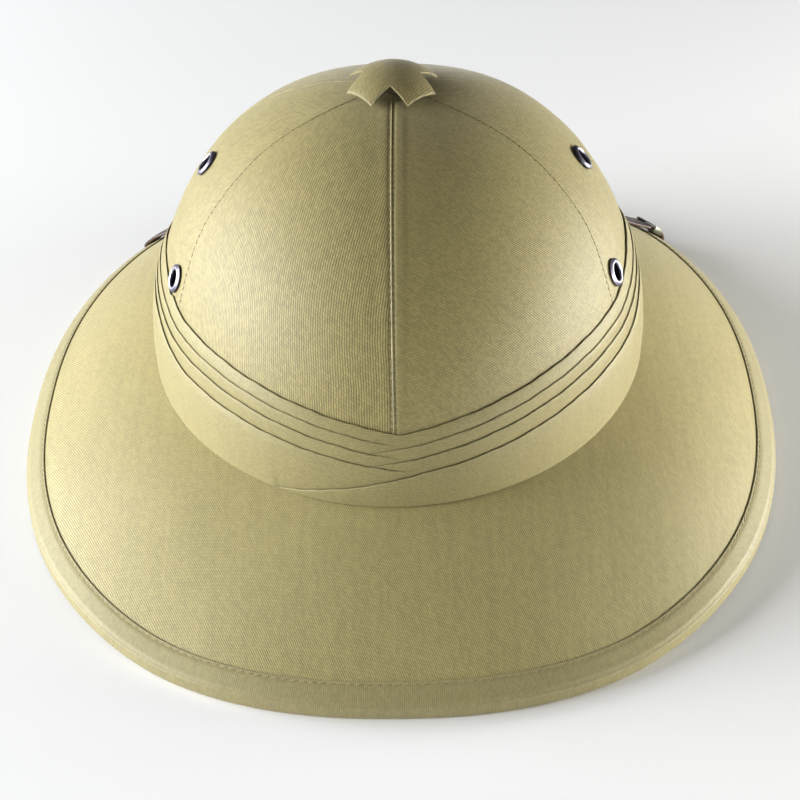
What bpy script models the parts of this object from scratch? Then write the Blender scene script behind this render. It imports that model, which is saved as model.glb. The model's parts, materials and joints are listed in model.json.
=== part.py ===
"""Khaki pith helmet: crown, brim, brim binding, pleated pugaree, ventilator cap, eyelets and chin strap.

Metres, +Z up. The helmet rests on its brim at z = 0, with its back towards -Y and its front towards +Y.
The origin is under the middle of the brim's length. A plan angle runs round the crown's axis: 0 at the
back, 90 degrees at +X, 180 degrees at the front.
"""

import math
from collections import namedtuple

import bmesh
import bpy
from mathutils import Matrix, Vector

MM = 0.001
GAP = 0.3 * MM                      # clearance between pieces that touch on the real helmet
AROUND = 64                         # facets round the crown and the brim

# Brim: reaches are measured from the crown's axis to the outer face of the binding.
BRIM_HALF_WIDTH = 143.0 * MM
BRIM_BACK_REACH = 168.2 * MM
BRIM_FRONT_REACH = 174.0 * MM
BRIM_BACK_FULLNESS = 2.32           # exponent of the plan outline; 2 is an ellipse
BRIM_FRONT_FULLNESS = 2.2
BRIM_DROOP = 0.45                   # share of the slope that steepens towards the rim
BRIM_DROOP_POWER = 2.2
BRIM_WALL_INNER = 3.4 * MM
BRIM_WALL_RIM = 1.9 * MM
RIM_STACK = 4.3 * MM                # board and binding at the rim, measured upright
RIM_LIFT = 3.3 * MM                 # the rim's sides stand this far above its back and front
RIM_LIFT_FROM = 0.50                # |sine| of the plan angle where the lift starts and is complete
RIM_LIFT_TO = 0.82

# Binding: a cloth strip folded round the rim.
BINDING_WALL = 1.0 * MM
BINDING_WIDTH = 6.4 * MM
BINDING_LAND = 1.5 * MM             # flat strip on which the rim rests
BINDING_ROUND = 0.9 * MM

# Crown: a dome over an elliptical base where it meets the brim.
CROWN_HALF_WIDTH = 90.6 * MM
CROWN_HALF_LENGTH = 105.4 * MM
CROWN_TOP = 142.2 * MM
CROWN_APEX_FORWARD = 5.0 * MM
CROWN_WALL = 3.4 * MM
CROWN_HEM = 4.6 * MM                # the crown's wall runs down inside the brim's opening
CROWN_RINGS = 12
CROWN_INNER_RINGS = 10
BULGE_SIDE = 0.027                  # how far the dome swells beyond a plain ellipsoid
BULGE_BACK = 0.016
BULGE_FRONT = -0.045
JUNCTION_BACK = 40.2 * MM
JUNCTION_SIDE_RISE = 0.5 * MM
JUNCTION_FRONT_RISE = 3.7 * MM

# Pugaree: strips of pleated cloth. Heights are above the brim's junction, at the back crossing, at the
# shoulder, on the sides and at the front. out is how far the upper edge stands off the crown, and cross
# is the plan angle where the right end laps over the left end.
Strip = namedtuple("Strip", "name centre shoulder side front out cross")
STRIPS = (
    Strip("pugaree_fold_1", 27.0 * MM, 37.8 * MM, 41.4 * MM, 35.0 * MM, 1.7 * MM, math.radians(2.0)),
    Strip("pugaree_fold_2", 23.0 * MM, 33.4 * MM, 36.2 * MM, 30.6 * MM, 2.3 * MM, math.radians(3.0)),
    Strip("pugaree_fold_3", 18.4 * MM, 28.8 * MM, 31.2 * MM, 26.2 * MM, 2.3 * MM, math.radians(3.5)),
    Strip("pugaree_band", 13.4 * MM, 22.8 * MM, 26.8 * MM, 21.8 * MM, 2.3 * MM, math.radians(6.0)),
)
SHOULDER_ANGLE = math.radians(60.0)
SIDE_ANGLE = math.radians(84.0)
FRONT_DROP_FROM = math.radians(88.0)    # from the sides the upper edges come down to the front's height
FRONT_DROP_TO = math.radians(106.0)
BAND_TAIL_ANGLE = math.radians(-28.0)   # where the right end of the band tucks under the left side
PUGAREE_INNER = 0.4 * MM            # clear of the crown
PUGAREE_LOWER_OUT = 1.4 * MM        # a fold's outer face, above the crown, at its lower edge
STRIP_SEAM = 0.16 * MM              # half the clearance between two strips
STRIP_TIP = 0.9 * MM                # width at which a strip's tapering end stops

# Ventilator cap: a domed shell with four petals, on a short boss.
CAP_RADIUS = 17.0 * MM              # to the petals' corners
CAP_NOTCH_RADIUS = 10.0 * MM        # to the points of the four notches
CAP_CORNER_ANGLE = math.radians(22.5)
CAP_DOME_RADIUS = 24.0 * MM
CAP_RISE = 8.1 * MM                 # top of the cap above the top of the crown
CAP_WALL = 1.2 * MM
CAP_BOSS_RADIUS = 6.0 * MM
CAP_TURN = math.radians(-3.0)
CAP_SEGMENTS = 32

# Eyelets: three on each side, in a triangle. Heights are above the brim's junction.
EyeletPlace = namedtuple("EyeletPlace", "name angle height")
EYELETS = (
    EyeletPlace("top", math.radians(90.4), 69.9 * MM),
    EyeletPlace("back", math.radians(69.9), 43.9 * MM),
    EyeletPlace("front", math.radians(118.0), 42.6 * MM),
)
EYELET_HOLE = 3.1 * MM
EYELET_BARREL = 3.6 * MM
EYELET_FLANGE = 5.2 * MM
EYELET_STAND = 0.45 * MM            # underside of the flange above the crown
EYELET_BACK = 0.9 * MM              # back flange below the crown's inner face
EYELET_BORE = 4.0 * MM
EYELET_CLEARANCE = 5.6 * MM
EYELET_SEGMENTS = 12

# Chin strap: leather, worn up over the front of the brim.
STRAP_WIDTH = 10.0 * MM
STRAP_WALL = 1.4 * MM
STRAP_STEP = 9.0 * MM               # longest facet along the strap
STRAP_ANCHOR_ANGLE = math.radians(116.0)
STRAP_RIM_ANGLE = math.radians(132.4)
ANCHOR_HEIGHT = 9.0 * MM            # above the brim's junction, inside the crown
ANCHOR_STAND = 1.0 * MM             # the strap's clearance from the curved inside of the crown
ANCHOR_SHANK = 2.0 * MM
ANCHOR_HEAD = 4.5 * MM
ANCHOR_HEAD_WALL = 1.5 * MM

# Slide: a metal keeper round the strap where it turns over the rim, on the right.
SLIDE_LENGTH = 6.0 * MM
SLIDE_FROM_RIM = 3.8 * MM
SLIDE_WALL = 0.5 * MM
SLIDE_CROWN = 0.2 * MM              # how far its top face is domed

AXIS_Y = (BRIM_BACK_REACH - BRIM_FRONT_REACH) / 2.0
FRONT = math.pi

Finish = namedtuple("Finish", "colour roughness metallic")
KHAKI = Finish((0.58, 0.50, 0.29), 0.85, 0.0)
KHAKI_LIGHT = Finish((0.63, 0.55, 0.33), 0.85, 0.0)
LEATHER = Finish((0.045, 0.022, 0.014), 0.45, 0.0)
NICKEL = Finish((0.72, 0.72, 0.74), 0.28, 1.0)


# ---------------------------------------------------------------- shapes as functions


def smoothstep(value):
    """Ease from 0 to 1 as value goes from 0 to 1, and stay level outside."""
    value = min(max(value, 0.0), 1.0)
    return value * value * (3.0 - 2.0 * value)


def rim_lift(angle):
    """Height of the rim's underside: level arcs at the back and front, raised at the sides."""
    share = (abs(math.sin(angle)) - RIM_LIFT_FROM) / (RIM_LIFT_TO - RIM_LIFT_FROM)
    return RIM_LIFT * smoothstep(share)


def junction_height(angle):
    """Height at which the crown meets the top of the brim."""
    side = JUNCTION_SIDE_RISE * math.sin(angle) ** 2
    front = JUNCTION_FRONT_RISE * (1.0 - math.cos(angle)) / 2.0
    return JUNCTION_BACK + side + front


def rim_plan(angle, inset=0.0):
    """Outline of the rim in plan, as a superellipse, drawn in by inset."""
    sine, cosine = math.sin(angle), math.cos(angle)
    back = cosine > 0.0
    fullness = BRIM_BACK_FULLNESS if back else BRIM_FRONT_FULLNESS
    reach = (BRIM_BACK_REACH if back else BRIM_FRONT_REACH) - inset
    radius = (abs(sine) ** fullness + abs(cosine) ** fullness) ** (-1.0 / fullness)
    return Vector(((BRIM_HALF_WIDTH - inset) * sine * radius, AXIS_Y - reach * cosine * radius))


def crown_plan(angle, offset=0.0):
    """Outline of the crown's base in plan, moved out by offset."""
    return Vector(((CROWN_HALF_WIDTH + offset) * math.sin(angle),
                   AXIS_Y - (CROWN_HALF_LENGTH + offset) * math.cos(angle)))


def crown_bulge(angle):
    """Swell of the dome beyond an ellipsoid, in this direction."""
    end = BULGE_BACK if math.cos(angle) > 0.0 else BULGE_FRONT
    return BULGE_SIDE * math.sin(angle) ** 2 + end * math.cos(angle) ** 2


def crown_point(angle, rise, inset=0.0):
    """Point of the dome. rise is 0 at the base and a right angle at the top."""
    radius = 1.0 + crown_bulge(angle) * math.sin(2.0 * rise)
    spread = radius * math.cos(rise)
    height = radius * math.sin(rise)
    base = crown_plan(angle, -inset)
    low = junction_height(angle)
    return Vector((base.x * spread,
                   AXIS_Y + (base.y - AXIS_Y) * spread + CROWN_APEX_FORWARD * height,
                   low + (CROWN_TOP - inset - low) * height))


def crown_rise(angle, height):
    """Solve for the rise at which the dome is this high above the junction."""
    target = height / (CROWN_TOP - junction_height(angle))
    rise = math.asin(min(max(target, 0.0), 1.0))
    for _ in range(12):
        radius = 1.0 + crown_bulge(angle) * math.sin(2.0 * rise)
        error = radius * math.sin(rise) - target
        rise -= error / max(radius * math.cos(rise), 0.2)
    return rise


def crown_side(angle, height, offset):
    """Point on the crown's side at a height above the junction, moved out level by offset."""
    point = crown_point(angle, crown_rise(angle, height))
    outward = Vector((point.x, point.y - AXIS_Y, 0.0)).normalized()
    return point + outward * offset


def crown_normal(angle, rise):
    """Outward normal of the dome."""
    step = 1e-4
    along = crown_point(angle + step, rise) - crown_point(angle - step, rise)
    up = crown_point(angle, rise + step) - crown_point(angle, rise - step)
    return along.cross(up).normalized()


def brim_section(angle):
    """Section of the brim board: its inner and outer ends in plan, and its length."""
    inner = crown_plan(angle, GAP)
    outer = rim_plan(angle, BINDING_WALL + GAP)
    return inner, outer, (outer - inner).length


def rim_slope(angle):
    """Downward slope of the board's top face at the rim."""
    fall = junction_height(angle) - rim_lift(angle) - RIM_STACK
    steepening = 1.0 + BRIM_DROOP * (BRIM_DROOP_POWER - 1.0)
    return math.atan(fall * steepening / brim_section(angle)[2])


def rim_top(angle):
    """Height of the board's top face at the rim."""
    return rim_lift(angle) + RIM_STACK


def brim_height(angle, along):
    """Height of the board's top face; along is 0 at the crown and 1 at the rim."""
    high = junction_height(angle)
    fall = (1.0 - BRIM_DROOP) * along + BRIM_DROOP * max(along, 0.0) ** BRIM_DROOP_POWER
    return high - (high - rim_top(angle)) * fall


def brim_point(angle, from_rim, lift=0.0):
    """Point from_rim inside the board's rim, lifted off the top face square to it."""
    inner, outer, length = brim_section(angle)
    along = 1.0 - from_rim / length
    step = 1e-3
    slope = (brim_height(angle, along + step) - brim_height(angle, along - step)) / (2.0 * step * length)
    outward = (outer - inner).normalized()
    tilt = math.atan(slope)
    side = inner + (outer - inner) * along - outward * (lift * math.sin(tilt))
    return Vector((side.x, side.y, brim_height(angle, along) + lift * math.cos(tilt)))


def brim_wall(along):
    """Thickness of the board, which thins towards the rim."""
    return BRIM_WALL_INNER + (BRIM_WALL_RIM - BRIM_WALL_INNER) * along


def rim_tangent(angle):
    """Direction along the rim, towards the front on the right side."""
    step = 0.02
    return (brim_point(angle + step, 0.0) - brim_point(angle - step, 0.0)).normalized()


def strip_edge(index, angle, left):
    """Height of a strip's upper edge on its left or right wing, run on straight past the crossing."""
    if index == len(STRIPS):
        return 0.0
    strip = STRIPS[index]
    away = strip.cross - angle if left else angle - strip.cross
    rise = strip.shoulder - strip.centre
    if away < 0.0:
        if index == len(STRIPS) - 1 and not left:
            return strip.centre * (1.0 + away / (strip.cross - BAND_TAIL_ANGLE))
        return strip.centre + rise * (math.pi / 2.0) * away / SHOULDER_ANGLE
    ramp = math.sin(math.pi / 2.0 * min(away / SHOULDER_ANGLE, 1.0))
    lift = smoothstep((away - SHOULDER_ANGLE) / (SIDE_ANGLE - SHOULDER_ANGLE))
    drop = smoothstep((away - FRONT_DROP_FROM) / (FRONT_DROP_TO - FRONT_DROP_FROM))
    return (strip.centre + rise * ramp + (strip.side - strip.shoulder) * lift
            - (strip.side - strip.front) * drop)


# ---------------------------------------------------------------- mesh builders


def finish_mesh(name, vertices, faces, finish, sharp=math.radians(40.0)):
    """Make an object of a closed mesh, with its faces turned outwards, and give it a material."""
    mesh = bpy.data.meshes.new(name)
    mesh.from_pydata([tuple(point) for point in vertices], [], faces)
    work = bmesh.new()
    work.from_mesh(mesh)
    bmesh.ops.recalc_face_normals(work, faces=work.faces)
    work.to_mesh(mesh)
    work.free()
    mesh.shade_smooth()
    mesh.set_sharp_from_angle(angle=sharp)
    item = bpy.data.objects.new(name, mesh)
    bpy.context.scene.collection.objects.link(item)
    if finish is not None:
        mesh.materials.append(make_material(name, finish))
    return item


def make_material(name, finish):
    """Principled material with a piece's own colour."""
    material = bpy.data.materials.new(name)
    material.use_nodes = True
    shader = material.node_tree.nodes["Principled BSDF"]
    shader.inputs["Base Color"].default_value = (*finish.colour, 1.0)
    shader.inputs["Roughness"].default_value = finish.roughness
    shader.inputs["Metallic"].default_value = finish.metallic
    return material


def skin_rings(name, rings, finish, poles=None):
    """Skin a row of closed rings: between two poles, or joined last to first as a hoop."""
    count = len(rings[0])
    vertices = [point for ring in rings for point in ring]
    faces = []
    pairs = len(rings) if poles is None else len(rings) - 1
    for row in range(pairs):
        low, high = row * count, (row + 1) % len(rings) * count
        for k in range(count):
            after = (k + 1) % count
            faces.append((low + k, low + after, high + after, high + k))
    if poles is not None:
        first, last = len(vertices), len(vertices) + 1
        vertices.extend(poles)
        end = (len(rings) - 1) * count
        for k in range(count):
            after = (k + 1) % count
            faces.append((first, after, k))
            faces.append((last, end + k, end + after))
    return finish_mesh(name, vertices, faces, finish)


def sweep_sections(name, sections, finish):
    """Skin a row of closed sections from end to end, with a flat cap on each end."""
    count = len(sections[0])
    vertices = [point for section in sections for point in section]
    faces = []
    for row in range(len(sections) - 1):
        low, high = row * count, (row + 1) * count
        for k in range(count):
            after = (k + 1) % count
            faces.append((low + k, low + after, high + after, high + k))
    faces.append(tuple(range(count)))
    end = (len(sections) - 1) * count
    faces.append(tuple(end + k for k in reversed(range(count))))
    return finish_mesh(name, vertices, faces, finish)


def frame_matrix(origin, x_axis, y_axis, z_axis):
    """Matrix that places a local frame in the world."""
    turn = Matrix((x_axis, y_axis, z_axis)).transposed().to_4x4()
    return Matrix.Translation(origin) @ turn


def facing_frame(origin, normal):
    """Frame at origin whose local Z is normal."""
    side = Vector((0.0, 0.0, 1.0)).cross(normal).normalized()
    return frame_matrix(origin, side, normal.cross(side), normal)


def turned_piece(name, profile, segments, frame, finish):
    """Turn a closed profile of (radius, height) pairs round a frame's Z axis into a ring."""
    rings = []
    for radius, height in profile:
        ring = []
        for k in range(segments):
            turn = 2.0 * math.pi * k / segments
            ring.append(frame @ Vector((radius * math.cos(turn), radius * math.sin(turn), height)))
        rings.append(ring)
    return skin_rings(name, rings, finish)


def cylinder_cutters(name, frames, radius, depth):
    """Cylinders centred on frames, to be cut out of another piece."""
    work = bmesh.new()
    for frame in frames:
        bmesh.ops.create_cone(work, cap_ends=True, segments=12, radius1=radius, radius2=radius,
                              depth=depth, matrix=frame)
    mesh = bpy.data.meshes.new(name)
    work.to_mesh(mesh)
    work.free()
    cutter = bpy.data.objects.new(name, mesh)
    bpy.context.scene.collection.objects.link(cutter)
    cutter.hide_render = True
    cutter.display_type = "WIRE"
    return cutter


def cut(piece, cutter):
    """Cut one piece by another with an exact Boolean."""
    modifier = piece.modifiers.new("cut_" + cutter.name, "BOOLEAN")
    modifier.operation = "DIFFERENCE"
    modifier.solver = "EXACT"
    modifier.object = cutter


# ---------------------------------------------------------------- the helmet's pieces


def round_angles():
    """Plan angles of the facets round the crown and the brim."""
    return [2.0 * math.pi * k / AROUND for k in range(AROUND)]


def make_crown():
    """Hollow dome, open below."""
    angles = round_angles()
    outer_rises = [math.pi / 2.0 * k / CROWN_RINGS for k in range(CROWN_RINGS)]
    inner_rises = [math.pi / 2.0 * k / CROWN_INNER_RINGS for k in range(CROWN_INNER_RINGS)]
    drop = Vector((0.0, 0.0, CROWN_HEM))
    outer = [[crown_point(a, rise) for a in angles] for rise in reversed(outer_rises)]
    hem_outer = [crown_point(a, 0.0) - drop for a in angles]
    hem_inner = [crown_point(a, 0.0, CROWN_WALL) - drop for a in angles]
    inner = [[crown_point(a, rise, CROWN_WALL) for a in angles] for rise in inner_rises]
    poles = (crown_point(0.0, math.pi / 2.0), crown_point(0.0, math.pi / 2.0, CROWN_WALL))
    return skin_rings("crown", outer + [hem_outer, hem_inner] + inner, KHAKI, poles)


def board_under(angle, along, extra=0.0):
    """Point straight below the board's top face, on its underside or extra below that."""
    top = brim_point(angle, (1.0 - along) * brim_section(angle)[2])
    slope = rim_slope(angle) * (0.6 + 0.4 * along)
    return top - Vector((0.0, 0.0, (brim_wall(along) + extra) / math.cos(slope)))


def make_brim():
    """Sloping board from the crown to the rim."""
    shares = (0.0, 0.22, 0.44, 0.66, 0.86, 1.0)
    rings = []
    for along in shares:
        rings.append([brim_point(a, (1.0 - along) * brim_section(a)[2]) for a in round_angles()])
    for along in reversed(shares):
        rings.append([board_under(a, along) for a in round_angles()])
    return skin_rings("brim", rings, KHAKI)


def beside_rim(angle, reach, height):
    """Point in the upright plane across the rim; reach is measured outwards from the board's edge."""
    inner, outer, _ = brim_section(angle)
    place = outer + (outer - inner).normalized() * reach
    return Vector((place.x, place.y, height))


def binding_section(angle):
    """Closed section of the binding: its outer skin from top to bottom, then its inner skin back."""
    face = GAP + BINDING_WALL
    slope = rim_slope(angle)
    low = rim_lift(angle)
    high = rim_top(angle) + face / math.cos(slope) - face * math.tan(slope)
    board_low = rim_top(angle) - (BRIM_WALL_RIM + GAP) / math.cos(slope) - GAP * math.tan(slope)
    edge = 1.0 - BINDING_WIDTH / brim_section(angle)[2]
    return [
        brim_point(angle, BINDING_WIDTH, face),
        brim_point(angle, BINDING_WIDTH / 2.0, face),
        beside_rim(angle, face - BINDING_ROUND, high + 0.4 * BINDING_ROUND),
        beside_rim(angle, face, high - 0.6 * BINDING_ROUND),
        beside_rim(angle, face, low + BINDING_ROUND),
        beside_rim(angle, face - BINDING_ROUND, low),
        beside_rim(angle, face - BINDING_ROUND - BINDING_LAND, low),
        board_under(angle, edge, face),
        board_under(angle, edge, GAP),
        beside_rim(angle, GAP, board_low),
        beside_rim(angle, GAP, rim_top(angle) + GAP / 2.0),
        brim_point(angle, BINDING_WIDTH / 2.0, GAP),
        brim_point(angle, BINDING_WIDTH, GAP),
    ]


def make_binding():
    """Cloth strip folded round the rim."""
    sections = [binding_section(a) for a in round_angles()]
    rings = [list(ring) for ring in zip(*sections)]
    return skin_rings("brim_binding", rings, KHAKI_LIGHT)


def strip_section(index, angle, low, high):
    """Closed section of a strip between two heights, thicker at its upper edge."""
    steps = 2 if index == len(STRIPS) - 1 else 1
    inner, outer = [], []
    for k in range(steps + 1):
        share = k / steps
        height = low + (high - low) * share
        reach = PUGAREE_LOWER_OUT + (STRIPS[index].out - PUGAREE_LOWER_OUT) * share
        inner.append(crown_side(angle, height, PUGAREE_INNER))
        outer.append(crown_side(angle, height, reach))
    return inner + outer[::-1]


def strip_angles(start, end, kinks):
    """Plan angles from start to end: the ends, the kinks, and the brim's facets that are clear of them."""
    step = 2.0 * math.pi / AROUND
    marks = [start, start + step / 3.0, end - step / 3.0, end] + [k for k in kinks if start < k < end]
    facets = [k * step for k in range(math.floor(start / step), math.ceil(end / step) + 1)]
    clear = [a for a in facets if start < a < end and min(abs(a - mark) for mark in marks) > step / 3.0]
    return sorted(marks + clear)


def find_meeting(upper, lower, start, heading, apart):
    """Walk from start, to the right (1) or the left (-1), until the lines are no further apart than this."""
    angle = start
    step = math.radians(0.05) * heading
    while upper(angle) - lower(angle) > apart:
        angle += step
    return angle


def make_strip(index):
    """One pugaree strip, from its right end at the back, round the front, to its left end at the back."""
    strip = STRIPS[index]

    def right_top(angle):
        return strip_edge(index, angle, left=False)

    def right_low(angle):
        return max(strip_edge(index + 1, angle, left=False), strip_edge(index + 1, angle, left=True))

    def left_top(angle):
        return strip_edge(index, angle, left=True)

    def left_low(angle):
        return max(strip_edge(index + 1, angle, left=True), strip_edge(index, angle, left=False))

    turn = 2.0 * math.pi
    start = find_meeting(right_top, right_low, strip.cross, -1.0, STRIP_TIP)
    end = find_meeting(left_top, left_low, start, 1.0, STRIP_TIP) + turn
    kinks = [find_meeting(right_top, right_low, strip.cross, -1.0, 0.0) + turn]
    floor = GAP
    if index < len(STRIPS) - 1:
        kinks.append(STRIPS[index + 1].cross)
        floor = 0.0
    sections = []
    for angle in strip_angles(start, end, kinks):
        if angle <= FRONT:
            high, low = right_top(angle), right_low(angle)
        else:
            high, low = left_top(angle - turn), left_low(angle - turn)
        sections.append(strip_section(index, angle, low + STRIP_SEAM + floor, high - STRIP_SEAM))
    return sweep_sections(strip.name, sections, KHAKI_LIGHT)


def cap_outline(turn):
    """Radius of the cap's edge: a straight edge on each petal and a V notch between petals."""
    quarter = math.pi / 2.0
    from_notch = abs((turn + quarter / 2.0) % quarter - quarter / 2.0)
    corner = Vector((CAP_RADIUS * math.cos(CAP_CORNER_ANGLE), CAP_RADIUS * math.sin(CAP_CORNER_ANGLE)))
    if from_notch < CAP_CORNER_ANGLE:
        edge = corner - Vector((CAP_NOTCH_RADIUS, 0.0))
        square = Vector((edge.y, -edge.x)).normalized()
        return square.x * CAP_NOTCH_RADIUS / (square.x * math.cos(from_notch) + square.y * math.sin(from_notch))
    half_petal = quarter / 2.0 - CAP_CORNER_ANGLE
    return CAP_RADIUS * math.cos(half_petal) / math.cos(quarter / 2.0 - from_notch)


def make_cap():
    """Domed cap on a boss that stands on the top of the crown."""
    apex = crown_point(0.0, math.pi / 2.0)
    top = apex.z + CAP_RISE
    turns = [2.0 * math.pi * k / CAP_SEGMENTS for k in range(CAP_SEGMENTS)]

    def ring(reach, below):
        """reach below 1 is a share of the notch radius; above 1 it goes on towards the petals' edge."""
        points = []
        for turn in turns:
            radius = CAP_NOTCH_RADIUS * min(reach, 1.0)
            radius += (cap_outline(turn) - CAP_NOTCH_RADIUS) * max(reach - 1.0, 0.0)
            height = top - CAP_DOME_RADIUS + math.sqrt(CAP_DOME_RADIUS ** 2 - radius ** 2) - below
            heading = turn + CAP_TURN
            points.append(Vector((radius * math.sin(heading), apex.y - radius * math.cos(heading), height)))
        return points

    outer = [ring(reach, 0.0) for reach in (0.35, 0.7, 1.0, 1.5, 2.0)]
    under = [ring(reach, CAP_WALL) for reach in (1.98, 1.5, 1.0, CAP_BOSS_RADIUS / CAP_NOTCH_RADIUS)]
    foot = [Vector((point.x, point.y, apex.z + GAP)) for point in under[-1]]
    poles = (Vector((0.0, apex.y, top)), Vector((0.0, apex.y, apex.z + GAP)))
    return skin_rings("ventilator_cap", outer + under + [foot], KHAKI_LIGHT, poles)


def eyelet_frames():
    """Name and frame of each eyelet, on the crown's outer surface with Z pointing out."""
    frames = []
    for side, sign in (("right", 1.0), ("left", -1.0)):
        for place in EYELETS:
            angle = sign * place.angle
            rise = crown_rise(angle, place.height)
            frame = facing_frame(crown_point(angle, rise), crown_normal(angle, rise))
            frames.append(("eyelet_%s_%s" % (side, place.name), frame))
    return frames


def make_eyelets(crown, upper_fold):
    """Metal eyelets riveted through the crown, clear of the pugaree's upper fold."""
    frames = eyelet_frames()
    back = -(CROWN_WALL + EYELET_BACK)
    profile = (
        (EYELET_HOLE, back - 0.6 * MM),
        (EYELET_FLANGE - 0.8 * MM, back - 0.6 * MM),
        (EYELET_FLANGE - 0.8 * MM, back),
        (EYELET_BARREL, back),
        (EYELET_BARREL, EYELET_STAND),
        (EYELET_FLANGE, EYELET_STAND),
        (EYELET_FLANGE - 1.0 * MM, 1.5 * MM),
        (EYELET_HOLE, 1.0 * MM),
    )
    for name, frame in frames:
        turned_piece(name, profile, EYELET_SEGMENTS, frame, NICKEL)
    places = [frame for _, frame in frames]
    cut(crown, cylinder_cutters("eyelet_bores", places, EYELET_BORE, 16.0 * MM))
    low_places = [frame for name, frame in frames if not name.endswith("top")]
    cut(upper_fold, cylinder_cutters("eyelet_clearances", low_places, EYELET_CLEARANCE, 16.0 * MM))


Station = namedtuple("Station", "place width")


def wall_station(height):
    """Station of the strap against the inside of the crown, above the junction, where it is held."""
    angle = STRAP_ANCHOR_ANGLE
    rise = crown_rise(angle, height)
    step = 0.02
    along = crown_point(angle + step, rise, CROWN_WALL) - crown_point(angle - step, rise, CROWN_WALL)
    off_wall = ANCHOR_STAND + STRAP_WALL / 2.0
    place = crown_point(angle, rise, CROWN_WALL) - crown_normal(angle, rise) * off_wall
    return Station(place, along.normalized())


def rim_stations(slide_lift):
    """Stations of the strap's turn over the binding, square to the rim, from below it to the brim's top."""
    angle = STRAP_RIM_ANGLE
    width = rim_tangent(angle)
    inner, outer, _ = brim_section(angle)
    oblique = (outer - inner).normalized().to_3d()
    square = Vector((width.y, -width.x, 0.0)).normalized()
    edge = beside_rim(angle, 0.0, 0.0)
    slope = math.atan(math.tan(rim_slope(angle)) / oblique.dot(square))
    rest = GAP + STRAP_WALL / 2.0
    face = GAP + BINDING_WALL
    corner = face - BINDING_ROUND
    reach = BINDING_ROUND + rest
    low = rim_lift(angle) + BINDING_ROUND

    def across_rim(out, height):
        return Station(edge + square * out + Vector((0.0, 0.0, height)), width)

    under = corner - BINDING_LAND
    stations = [across_rim(under - 8.0 * MM, low - reach + 1.2 * MM), across_rim(under, low - reach)]
    for turn in (-90.0, -60.0, -30.0, 0.0):
        bend = math.radians(turn)
        stations.append(across_rim(corner + reach * math.cos(bend), low + reach * math.sin(bend)))
    high = rim_top(angle) + face / math.cos(slope) - corner * math.tan(slope) - BINDING_ROUND
    stations.append(across_rim(corner + reach + 0.3 * slide_lift, high))
    lift = face + rest + slide_lift
    for from_rim in (SLIDE_FROM_RIM - 3.2 * MM, SLIDE_FROM_RIM, SLIDE_FROM_RIM + 3.2 * MM):
        out = lift * math.sin(slope) - from_rim * math.cos(slope)
        up = lift * math.cos(slope) + from_rim * math.sin(slope)
        stations.append(across_rim(out, rim_top(angle) + up))
    return stations


BrimSweep = namedtuple("BrimSweep", "angle from_rim lift twist")
# The strap on its way over the brim, close to the top face.
BRIM_SWEEP = (
    BrimSweep(math.radians(134.6), 17.5 * MM, 1.2 * MM, 0.02),
    BrimSweep(math.radians(137.4), 28.0 * MM, 2.2 * MM, 0.16),
)

Sweep = namedtuple("Sweep", "angle height bow twist")
# The strap over the front of the pugaree: plan angle, height above the junction, distance off the
# pugaree, and how far the strap has turned from lying on the brim (0) to standing on edge (1).
FRONT_SWEEP = (
    Sweep(math.radians(143.0), 9.5 * MM, 12.0 * MM, 0.55),
    Sweep(math.radians(151.0), 13.5 * MM, 5.0 * MM, 0.85),
    Sweep(math.radians(160.0), 16.0 * MM, 2.2 * MM, 1.0),
    Sweep(math.radians(170.0), 17.0 * MM, 1.6 * MM, 1.0),
    Sweep(math.radians(180.0), 17.3 * MM, 1.5 * MM, 1.0),
)


def edge_direction(angle, height):
    """Downward direction along the pugaree's face, for a strap on edge."""
    step = 4.0 * MM
    out = STRIPS[-1].out
    return (crown_side(angle, height - step, out) - crown_side(angle, height + step, out)).normalized()


def brim_station(sweep, brim_width):
    """Station of the strap above the brim's top face."""
    on_edge = edge_direction(sweep.angle, FRONT_SWEEP[0].height)
    place = brim_point(sweep.angle, sweep.from_rim, sweep.lift)
    return Station(place, brim_width.lerp(on_edge, sweep.twist).normalized())


def front_station(sweep, brim_width):
    """Station of the strap across the front of the crown."""
    rest = GAP + STRAP_WALL / 2.0
    out = STRIPS[-1].out
    on_edge = edge_direction(sweep.angle, sweep.height)
    place = crown_side(sweep.angle, sweep.height, out + rest + sweep.bow)
    return Station(place, brim_width.lerp(on_edge, sweep.twist).normalized())


def strap_half(slide_lift):
    """Stations of the right half of the strap, from its end in the crown to the middle of the front."""
    held = [wall_station(ANCHOR_HEIGHT + 8.0 * MM), wall_station(ANCHOR_HEIGHT), wall_station(1.0 * MM)]
    width = held[-1].width
    rim = rim_stations(slide_lift)
    under_hem = held[-1].place - Vector((0.0, 0.0, CROWN_HEM + 3.5 * MM))
    middle = under_hem.lerp(rim[0].place, 0.5) - Vector((0.0, 0.0, 1.0 * MM))
    hanging = [Station(under_hem, width), Station(middle, width.lerp(rim[0].width, 0.5))]
    over_brim = [brim_station(sweep, rim[-1].width) for sweep in BRIM_SWEEP]
    return held + hanging + rim + over_brim + [front_station(sweep, rim[-1].width) for sweep in FRONT_SWEEP]


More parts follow.
